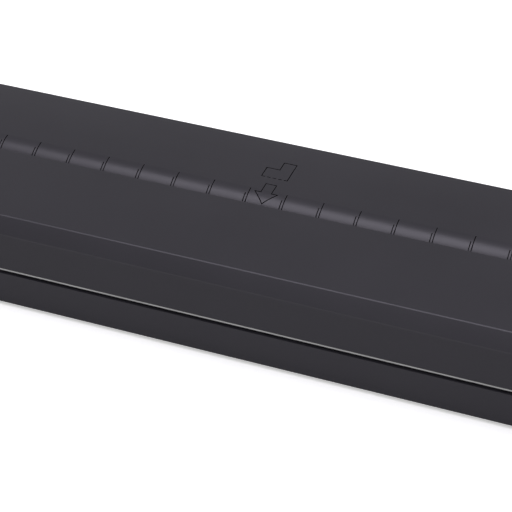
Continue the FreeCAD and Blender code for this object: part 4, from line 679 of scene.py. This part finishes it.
def on_points(tree, given, result, shape):
    """The end of every tree: the shape on each point, turned as the point says, made real."""
    turn = add(tree, "GeometryNodeInputNamedAttribute", {"Name": "turn"}, data_type="FLOAT").outputs[0]
    rotation = add(tree, "ShaderNodeCombineXYZ", {"Z": turn})
    copies = add(
        tree, "GeometryNodeInstanceOnPoints",
        {"Points": given.outputs["Geometry"], "Instance": shape, "Rotation": rotation.outputs[0]},
    )
    real = add(tree, "GeometryNodeRealizeInstances", {"Geometry": copies.outputs["Instances"]})
    tree.links.new(real.outputs["Geometry"], result.inputs["Geometry"])


def painted(tree, shape, material):
    return add(tree, "GeometryNodeSetMaterial", {"Geometry": shape, "Material": material}).outputs[0]


print("piece helpers ready")

# %% [markdown]
# ## Ribbed rubber rollers
# A feed roller grips paper with shallow ribs along its length. The ribs could be cut one by one, but the
# section is a closed curve with a hole, so it is drawn once, with every second pair of its points drawn in
# to the groove's depth, then filled and pushed out to the roller's length. The sections stay within the
# CAD roller, so nothing that clears the plain roller can touch the ribbed one.


# %% Ribbed rollers
RIB_GROOVE = 0.22 * MM
BORE_SIDES = 40


def ribbed_roller_tree():
    sizes = [("Ribs", "NodeSocketInt", 28)]
    for label in ("Radius", "Bore", "Groove", "Length"):
        sizes.append((label, "NodeSocketFloat", 0.001))
    tree, given, result = new_tree("ribbed roller", sizes)
    tree.interface.new_socket("Material", in_out="INPUT", socket_type="NodeSocketMaterial")
    size = given.outputs
    count = add(tree, "ShaderNodeMath", {0: size["Ribs"], 1: 4.0}, operation="MULTIPLY").outputs[0]
    rim = add(tree, "GeometryNodeCurvePrimitiveCircle", {"Resolution": count, "Radius": size["Radius"]})
    index = add(tree, "GeometryNodeInputIndex").outputs[0]
    turn = add(tree, "ShaderNodeMath", {0: index, 1: 4.0}, operation="MODULO").outputs[0]
    in_groove = add(tree, "ShaderNodeMath", {0: turn, 1: 1.5}, operation="GREATER_THAN").outputs[0]
    ratio = {0: size["Groove"], 1: size["Radius"]}
    share = add(tree, "ShaderNodeMath", ratio, operation="DIVIDE").outputs[0]
    inward = add(tree, "ShaderNodeMath", {0: share, 1: -1.0}, operation="MULTIPLY").outputs[0]
    spot = add(tree, "GeometryNodeInputPosition").outputs[0]
    offset = add(tree, "ShaderNodeVectorMath", {0: spot, "Scale": inward}, operation="SCALE").outputs[0]
    ribs = add(
        tree, "GeometryNodeSetPosition",
        {"Geometry": rim.outputs["Curve"], "Selection": in_groove, "Offset": offset},
    )
    hole = add(
        tree, "GeometryNodeCurvePrimitiveCircle", {"Resolution": BORE_SIDES, "Radius": size["Bore"]},
    )
    outline = add(tree, "GeometryNodeJoinGeometry")
    tree.links.new(ribs.outputs["Geometry"], outline.inputs[0])
    tree.links.new(hole.outputs["Curve"], outline.inputs[0])
    face = add(tree, "GeometryNodeFillCurve", {"Curve": outline.outputs[0]}).outputs[0]
    push = add(
        tree, "GeometryNodeExtrudeMesh",
        {"Mesh": face, "Offset Scale": size["Length"], "Individual": False},
    )
    back = add(tree, "GeometryNodeFlipFaces", {"Mesh": face})
    both = add(tree, "GeometryNodeJoinGeometry")
    tree.links.new(push.outputs["Mesh"], both.inputs[0])
    tree.links.new(back.outputs["Mesh"], both.inputs[0])
    closed = add(tree, "GeometryNodeMergeByDistance", {"Geometry": both.outputs[0], "Distance": 0.001 * MM})
    half = add(tree, "ShaderNodeMath", {0: size["Length"], 1: -0.5}, operation="MULTIPLY").outputs[0]
    middle = add(tree, "ShaderNodeCombineXYZ", {"X": half}).outputs[0]
    laid = add(
        tree, "GeometryNodeTransform",
        {"Geometry": closed.outputs[0], "Rotation": (0, math.radians(90), 0), "Translation": middle},
    )
    on_points(tree, given, result, painted(tree, laid.outputs[0], given.outputs["Material"]))
    return tree


def ribbed_rollers(name, body, shaft, ribs):
    rollers = solids(name)
    low, high = rollers[0]
    shaft_low, shaft_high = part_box(shaft)
    points = [((low + high) / 2, 0.0) for low, high in rollers]
    values = {
        "Ribs": ribs,
        "Radius": (high.z - low.z) / 2,
        "Bore": (shaft_high.z - shaft_low.z) / 2,
        "Groove": RIB_GROOVE,
        "Length": high.x - low.x,
        "Material": finishes["roller_rubber"],
    }
    grow("ribbed_" + name, points, roller_tree, values, body, [name])


roller_tree = ribbed_roller_tree()
ribbed_rollers("feed_rollers", "feed", "feed_shaft", 26)
ribbed_rollers("exit_rollers", "exit", "exit_shaft", 18)

# %% [markdown]
# ## Chip legs, small parts and contacts
# Each chip stands on rows of thin tinned legs that step out and down to the board. A leg is a short bent
# line given a flat section. Between the chips lie dozens of ceramic parts, each a block with two tinned
# ends, strewn with a fixed seed on the free ground that the larger parts leave.


# %% Finishes for the small parts
def tinned_leads():
    made = Finish("tinned leads", Metallic=1.0, Roughness=0.32)
    dull = made.noise(0.4, 3.0)
    made.set("Base Color", made.blend(dull, (0.50, 0.50, 0.49), (0.66, 0.66, 0.64)))
    made.set("Roughness", made.span(dull, 0.25, 0.48, 0.3, 0.7))
    made.lift(dull, 0.006)
    return made.material


def ceramic_body():
    made = Finish("ceramic part body", Roughness=0.5)
    made.set("Base Color", made.blend(made.noise(2.2, 2.0), (0.17, 0.10, 0.055), (0.30, 0.21, 0.13)))
    made.set("Roughness", made.span(made.noise(0.3), 0.4, 0.62, 0.3, 0.7))
    made.lift(made.noise(0.15), 0.008)
    return made.material


def gilt_contacts():
    made = Finish("gilt contacts", Metallic=1.0, Roughness=0.25)
    rub = made.noise(0.3, 2.0, made.stretch(0.1, 1.0, 1.0))
    made.set("Base Color", made.blend(made.noise(0.8), (0.72, 0.50, 0.18), (0.86, 0.66, 0.30)))
    made.set("Roughness", made.span(rub, 0.18, 0.36, 0.3, 0.7))
    made.lift(rub, 0.003)
    return made.material


tin = tinned_leads()
print("small part finishes ready")


# %% Chip legs
LEG_PITCH = 0.8 * MM
LEG_REACH = 1.0 * MM
LEG_WIDTH = 0.34 * MM
LEG_THICKNESS = 0.15 * MM
LEG_IN_CHIP = 0.1 * MM
FLAT_CHIP = 2.0 * MM


def leg_tree():
    """A gull-wing leg: out of the chip's side, down, and out again onto the board."""
    sizes = [(label, "NodeSocketFloat", 0.001) for label in ("Reach", "Drop", "Width", "Thickness")]
    tree, given, result = new_tree("gull-wing leg", sizes)
    tree.interface.new_socket("Material", in_out="INPUT", socket_type="NodeSocketMaterial")
    size = given.outputs
    flat = {"Width": size["Width"], "Height": size["Thickness"]}
    section = add(tree, "GeometryNodeCurvePrimitiveQuadrilateral", flat)
    path = add(tree, "GeometryNodeMeshLine", {"Count": 4, "Offset": (0, 0, 0)})
    index = add(tree, "GeometryNodeInputIndex").outputs[0]
    stretch = {"Value": index, "From Max": 3.0, "To Max": size["Reach"]}
    out = add(tree, "ShaderNodeMapRange", stretch).outputs[0]
    low_half = add(tree, "ShaderNodeMath", {0: index, 1: 1.5}, operation="GREATER_THAN").outputs[0]
    down = add(tree, "ShaderNodeMath", {0: low_half, 1: size["Drop"]}, operation="MULTIPLY").outputs[0]
    fall = add(tree, "ShaderNodeMath", {0: down, 1: -1.0}, operation="MULTIPLY").outputs[0]
    spot = add(tree, "ShaderNodeCombineXYZ", {"Y": out, "Z": fall}).outputs[0]
    bent = add(tree, "GeometryNodeSetPosition", {"Geometry": path.outputs[0], "Position": spot})
    curve = add(tree, "GeometryNodeMeshToCurve", {"Mesh": bent.outputs[0]})
    leg = add(
        tree, "GeometryNodeCurveToMesh",
        {"Curve": curve.outputs[0], "Profile Curve": section.outputs[0], "Fill Caps": True},
    )
    on_points(tree, given, result, painted(tree, leg.outputs[0], given.outputs["Material"]))
    return tree


def chips():
    """The flat chips of the main board, without the round capacitors."""
    return [box for box in solids("board_chips") if box[1].z - box[0].z < FLAT_CHIP]


def chip_legs():
    """A row of legs along both long sides of each chip, from half its height down to the board."""
    board_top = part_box("main_board")[1].z
    first_low, first_high = chips()[0]
    middle = (first_low.z + first_high.z) / 2
    points = []
    for low, high in chips():
        count = int((high.x - low.x - LEG_PITCH) / LEG_PITCH)
        start = (low.x + high.x) / 2 - (count - 1) * LEG_PITCH / 2
        for i in range(count):
            x = start + i * LEG_PITCH
            points.append((Vector((x, high.y - LEG_IN_CHIP, middle)), 0.0))
            points.append((Vector((x, low.y + LEG_IN_CHIP, middle)), math.pi))
    values = {
        "Reach": LEG_REACH,
        "Drop": middle - board_top - LEG_THICKNESS / 2,
        "Width": LEG_WIDTH,
        "Thickness": LEG_THICKNESS,
        "Material": tin,
    }
    grow("chip_legs", points, leg_tree(), values, "housing")


chip_legs()


# %% Small ceramic parts
CERAMIC_SIZE = Vector((1.0, 0.5, 0.45)) * MM
CERAMIC_CAP = 0.24 * MM
CERAMIC_COUNT = 64
CERAMIC_SEED = 3
CERAMIC_SPACE = 1.7 * MM
CAP_SWELL = 1.12
# How far in from the board's edges a part may stand, in millimetres.
BOARD_EDGE_X = 1.5
BOARD_EDGE_Y = 1.2


def block_tree():
    """A block with a slightly larger cap at each end."""
    sizes = [("Size", "NodeSocketVector", (0.001, 0.001, 0.001)), ("Cap", "NodeSocketFloat", 0.0003)]
    tree, given, result = new_tree("capped block", sizes)
    tree.interface.new_socket("Body", in_out="INPUT", socket_type="NodeSocketMaterial")
    tree.interface.new_socket("Ends", in_out="INPUT", socket_type="NodeSocketMaterial")
    size = given.outputs["Size"]
    body = add(tree, "GeometryNodeMeshCube", {"Size": size}).outputs[0]
    parts = add(tree, "GeometryNodeJoinGeometry")
    tree.links.new(painted(tree, body, given.outputs["Body"]), parts.inputs[0])
    split = add(tree, "ShaderNodeSeparateXYZ", {"Vector": size}).outputs
    grown = add(tree, "ShaderNodeVectorMath", {0: size, "Scale": CAP_SWELL}, operation="SCALE")
    wide = add(tree, "ShaderNodeSeparateXYZ", {"Vector": grown.outputs[0]}).outputs
    sides = {"X": given.outputs["Cap"], "Y": wide["Y"], "Z": wide["Z"]}
    cap_size = add(tree, "ShaderNodeCombineXYZ", sides)
    for side in (-0.5, 0.5):
        away = add(tree, "ShaderNodeMath", {0: split["X"], 1: side}, operation="MULTIPLY").outputs[0]
        spot = add(tree, "ShaderNodeCombineXYZ", {"X": away}).outputs[0]
        cap = add(tree, "GeometryNodeMeshCube", {"Size": cap_size.outputs[0]}).outputs[0]
        moved = add(tree, "GeometryNodeTransform", {"Geometry": cap, "Translation": spot}).outputs[0]
        tree.links.new(painted(tree, moved, given.outputs["Ends"]), parts.inputs[0])
    on_points(tree, given, result, parts.outputs[0])
    return tree


def clear_of(place, boxes, margin):
    """Whether the place lies outside every box by this margin, seen from above."""
    for low, high in boxes:
        within_x = low.x - margin < place.x < high.x + margin
        within_y = low.y - margin < place.y < high.y + margin
        if within_x and within_y:
            return False
    return True


def ceramic_parts(board, taken):
    """Parts on a 1 mm grid, clear of what is taken. Each try lets them stand a little closer."""
    low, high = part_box(board)
    chance = random.Random(CERAMIC_SEED)
    margin = CERAMIC_SPACE
    placed = []
    while len(placed) < CERAMIC_COUNT:
        x = low.x + round(chance.uniform(BOARD_EDGE_X, (high.x - low.x) / MM - BOARD_EDGE_X)) * MM
        y = low.y + round(chance.uniform(BOARD_EDGE_Y, (high.y - low.y) / MM - BOARD_EDGE_Y)) * MM
        place = Vector((x, y, high.z + CERAMIC_SIZE.z / 2))
        ground = taken + [(spot, spot) for spot, _ in placed]
        if clear_of(place, ground, margin):
            placed.append((place, math.pi / 2 * chance.randrange(2)))
        margin *= 0.9995
    values = {"Size": CERAMIC_SIZE, "Cap": CERAMIC_CAP, "Body": ceramic, "Ends": tin}
    grow(board + "_parts", placed, blocks, values, "housing")


def large_parts():
    names = ("board_chips", "board_screws", "usb_port", "board_sockets", "motor_cable", "ribbon_cable")
    return [box for name in names for box in solids(name)]


ceramic = ceramic_body()
blocks = block_tree()
ceramic_parts("main_board", large_parts())


# %% Contacts inside the port
CONTACT_SIZE = Vector((2.4, 0.32, 0.05)) * MM
CONTACT_PITCH = 1.0 * MM
CONTACT_INSIDE = 2.2 * MM
TONGUE_HALF_HEIGHT = 0.35 * MM


def port_contacts():
    """Five gilt strips half sunk into the tongue of the port."""
    low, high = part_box("usb_port")
    tongue_top = (low.z + high.z) / 2 + TONGUE_HALF_HEIGHT
    middle = (low.y + high.y) / 2
    points = [
        (Vector((low.x + CONTACT_INSIDE, middle + i * CONTACT_PITCH, tongue_top)), 0.0)
        for i in range(-2, 3)
    ]
    gilt = gilt_contacts()
    values = {"Size": CONTACT_SIZE, "Cap": CONTACT_SIZE.z, "Body": gilt, "Ends": gilt}
    grow("port_contacts", points, blocks, values, "housing")


port_contacts()

# %% [markdown]
# ## Ringed feet
# A moulded rubber foot has shallow rings underneath, which keep it from sliding. The foot is round, so half
# its section is drawn once and spun about its middle. Spinning leaves the first and last line of points
# doubled, so they are merged before the faces are turned outwards.


# %% Rubber feet
RING_SHARES = (0.36, 0.72)
RING_DEPTH = 0.22 * MM
RING_WIDTH = 0.50 * MM
RING_SLOPE = 0.08 * MM
FOOT_ROUNDING = 0.3 * MM
FOOT_STEPS = 48


def foot_section(radius, top):
    """Half the foot's section, from its middle outwards and up, with two rings sunk into the underside."""
    section = [(0, 0)]
    for share in RING_SHARES:
        start = radius * share
        end = start + RING_WIDTH
        section += [(start, 0), (start + RING_SLOPE, RING_DEPTH), (end - RING_SLOPE, RING_DEPTH), (end, 0)]
    bulge = FOOT_ROUNDING * 0.3
    section += [(radius - FOOT_ROUNDING, 0), (radius - bulge, bulge), (radius, FOOT_ROUNDING)]
    return section + [(radius, top), (0, top)]


def ringed_feet():
    mesh = bmesh.new()
    for low, high in solids("rubber_feet"):
        middle = Vector(((low.x + high.x) / 2, (low.y + high.y) / 2, low.z))
        section = foot_section((high.x - low.x) / 2, high.z - low.z)
        line = [mesh.verts.new(middle + Vector((out, 0, up))) for out, up in section]
        sides = [mesh.edges.new(pair) for pair in zip(line, line[1:])]
        turn = {"cent": middle, "axis": (0, 0, 1), "angle": 2 * math.pi, "steps": FOOT_STEPS}
        bmesh.ops.spin(mesh, geom=line + sides, **turn)
    bmesh.ops.remove_doubles(mesh, verts=mesh.verts, dist=0.001 * MM)
    bmesh.ops.recalc_face_normals(mesh, faces=mesh.faces)
    made = bpy.data.meshes.new("ringed_feet")
    mesh.to_mesh(made)
    mesh.free()
    made.materials.append(finishes["foot_rubber"])
    settle("ringed_feet", made, "housing", ["rubber_feet"])


ringed_feet()

# %% [markdown]
# ## The painted highlight under the cover
# A thin satin-silver rod is set into the rolled foot of the cover, along the whole front. It is a painted
# highlight: the pale metal strip stands in for the highlight that the cover's rolled foot catches.
# It is a rod with tapered ends that follows the hinge line, so a curve with a round section makes it in
# one step. It turns with the cover round the hinge.

# %% Satin-silver rod, a painted highlight
BEAD_RADIUS = 0.42 * MM
BEAD_AHEAD = 0.50 * MM
BEAD_BELOW = 1.16 * MM
BEAD_TAPER = 0.3 * MM
BEAD_END = 0.55


def painted_highlight_silver():
    made = Finish("painted highlight silver", Metallic=1.0, Roughness=0.34)
    scratches = made.noise(0.25, 2.0, made.stretch(0.08, 1.0, 1.0))
    # Painted highlight: a pale satin metal stands in for the highlight on the cover's foot.
    made.set("Base Color", made.blend(scratches, (0.46, 0.46, 0.46), (0.66, 0.66, 0.65)))
    made.set("Roughness", made.span(made.noise(1.5), 0.28, 0.42, 0.3, 0.7))
    made.lift(scratches, 0.004)
    return made.material


def painted_highlight_rod():
    hinge = next(joint for joint in frame["joints"] if joint["name"] == "cover_hinge")
    _, y, z = hinge["pos_m"]
    low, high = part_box("upper_guide")
    curve = bpy.data.curves.new("satin bead", "CURVE")
    curve.dimensions = "3D"
    curve.bevel_depth = BEAD_RADIUS
    curve.bevel_resolution = 4
    curve.use_fill_caps = True
    line = curve.splines.new("POLY")
    ends = [(low.x, BEAD_END), (low.x + BEAD_TAPER, 1.0), (high.x - BEAD_TAPER, 1.0), (high.x, BEAD_END)]
    line.points.add(len(ends) - 1)
    for point, (along, thick) in zip(line.points, ends):
        point.co = (along, y - BEAD_AHEAD, z - BEAD_BELOW, 1)
        point.radius = thick
    holder = bpy.data.objects.new("satin bead line", curve)
    bpy.context.collection.objects.link(holder)
    view = bpy.context.evaluated_depsgraph_get()
    mesh = bpy.data.meshes.new_from_object(holder.evaluated_get(view), depsgraph=view)
    bpy.data.objects.remove(holder)
    mesh.materials.clear()
    mesh.materials.append(painted_highlight_silver())
    settle("painted_highlight_rod", mesh, "cover")


painted_highlight_rod()

# %% [markdown]
# ## The studio
# A broad soft lamp hangs almost overhead, a little to the left and towards the front. It puts one soft
# streak along the curved lip and a thin bright line along the crest, and leaves the flat tops dark. The
# world fills the shadows. The floor looks white, but throws back only half of the light that falls on it,
# so the front stays dark too.


# %% Floor, world, lamp and camera
def aim(piece, place, target):
    piece.location = place
    piece.rotation_mode = "QUATERNION"
    piece.rotation_quaternion = (Vector(target) - Vector(place)).to_track_quat("-Z", "Y")


def shown_to_eye(tree):
    """1 for a ray from the camera or through glass, and 0 for light that falls on things."""
    path = add(tree, "ShaderNodeLightPath")
    sockets = {0: path.outputs["Is Camera Ray"], 1: path.outputs["Is Transmission Ray"]}
    return add(tree, "ShaderNodeMath", sockets, operation="MAXIMUM").outputs[0]


WORLD_FILL = 0.72
CEILING = 0.24
CEILING_STARTS = 0.10
CEILING_FULL = 0.45
FLOOR_HALF = 3.0
FLOOR_GLOW = 0.42
FLOOR_BOUNCE = (0.50, 0.50, 0.50)
LAMP_SIDES = (0.66, 0.95)
LAMP_POWER = 6.4
LAMP_TINT = (1.0, 0.97, 1.08)
LAMP_TOWARDS = Vector((-0.10, -0.03, 0.99))
LAMP_DISTANCE = 1.2
CAMERA_LENS = 130.56
CAMERA_FILM = 36
CAMERA_PLACE = (0.13636, -0.36126, 0.29964)
CAMERA_TARGET = (0.00704, -0.02010, 0.0265)


def pale_world():
    """White to the eye. In a mirror it is white up to the horizon and dusky overhead, as a studio is."""
    world = bpy.data.worlds.new("pale studio")
    world.use_nodes = True
    tree = world.node_tree
    background = tree.nodes["Background"]
    path = add(tree, "ShaderNodeLightPath")
    toward = add(tree, "ShaderNodeTexCoord").outputs["Generated"]
    height = add(tree, "ShaderNodeSeparateXYZ", {"Vector": toward}).outputs["Z"]
    climb = {"Value": height, "From Min": CEILING_STARTS, "From Max": CEILING_FULL}
    climb.update({"To Min": 1.0, "To Max": CEILING})
    mirror = add(tree, "ShaderNodeMapRange", climb, interpolation_type="SMOOTHSTEP")
    choice = {0: path.outputs["Is Glossy Ray"], 2: WORLD_FILL, 3: mirror.outputs[0]}
    lit = add(tree, "ShaderNodeMix", choice)
    strength = add(tree, "ShaderNodeMix", {0: shown_to_eye(tree), 2: lit.outputs[0], 3: 1.0})
    background.inputs["Color"].default_value = (1, 1, 1, 1)
    tree.links.new(strength.outputs[0], background.inputs["Strength"])
    bpy.context.scene.world = world


def white_floor():
    mesh = bpy.data.meshes.new("floor")
    half = FLOOR_HALF
    corners = [(-half, -half, 0), (half, -half, 0), (half, half, 0), (-half, half, 0)]
    mesh.from_pydata(corners, [], [(0, 1, 2, 3)])
    floor = bpy.data.objects.new("floor", mesh)
    bpy.context.collection.objects.link(floor)
    made = Finish("white floor", Roughness=0.9)
    seen = shown_to_eye(made.tree)
    tone = made.blend(made.noise(400.0), (0.86, 0.86, 0.86), (0.88, 0.88, 0.88))
    made.set("Base Color", made.blend(seen, FLOOR_BOUNCE, tone))
    glow = made.math("MULTIPLY", seen, FLOOR_GLOW)
    made.shader.inputs["Emission Color"].default_value = (1, 1, 1, 1)
    made.set("Emission Strength", glow)
    mesh.materials.append(made.material)


def overhead_lamp():
    lamp = bpy.data.lights.new("overhead softbox", "AREA")
    lamp.shape = "RECTANGLE"
    lamp.size, lamp.size_y = LAMP_SIDES
    lamp.energy = LAMP_POWER
    lamp.color = LAMP_TINT
    hung = bpy.data.objects.new("overhead softbox", lamp)
    bpy.context.collection.objects.link(hung)
    aim(hung, LAMP_TOWARDS.normalized() * LAMP_DISTANCE, (0, 0, 0))


def studio_camera():
    camera = bpy.data.cameras.new("camera")
    camera.sensor_width = CAMERA_FILM
    camera.lens = CAMERA_LENS
    camera.clip_start = 0.01
    held = bpy.data.objects.new("camera", camera)
    bpy.context.collection.objects.link(held)
    aim(held, CAMERA_PLACE, CAMERA_TARGET)
    bpy.context.scene.camera = held


pale_world()
white_floor()
overhead_lamp()
studio_camera()
bpy.context.scene.view_settings.view_transform = "Standard"
print("studio ready")
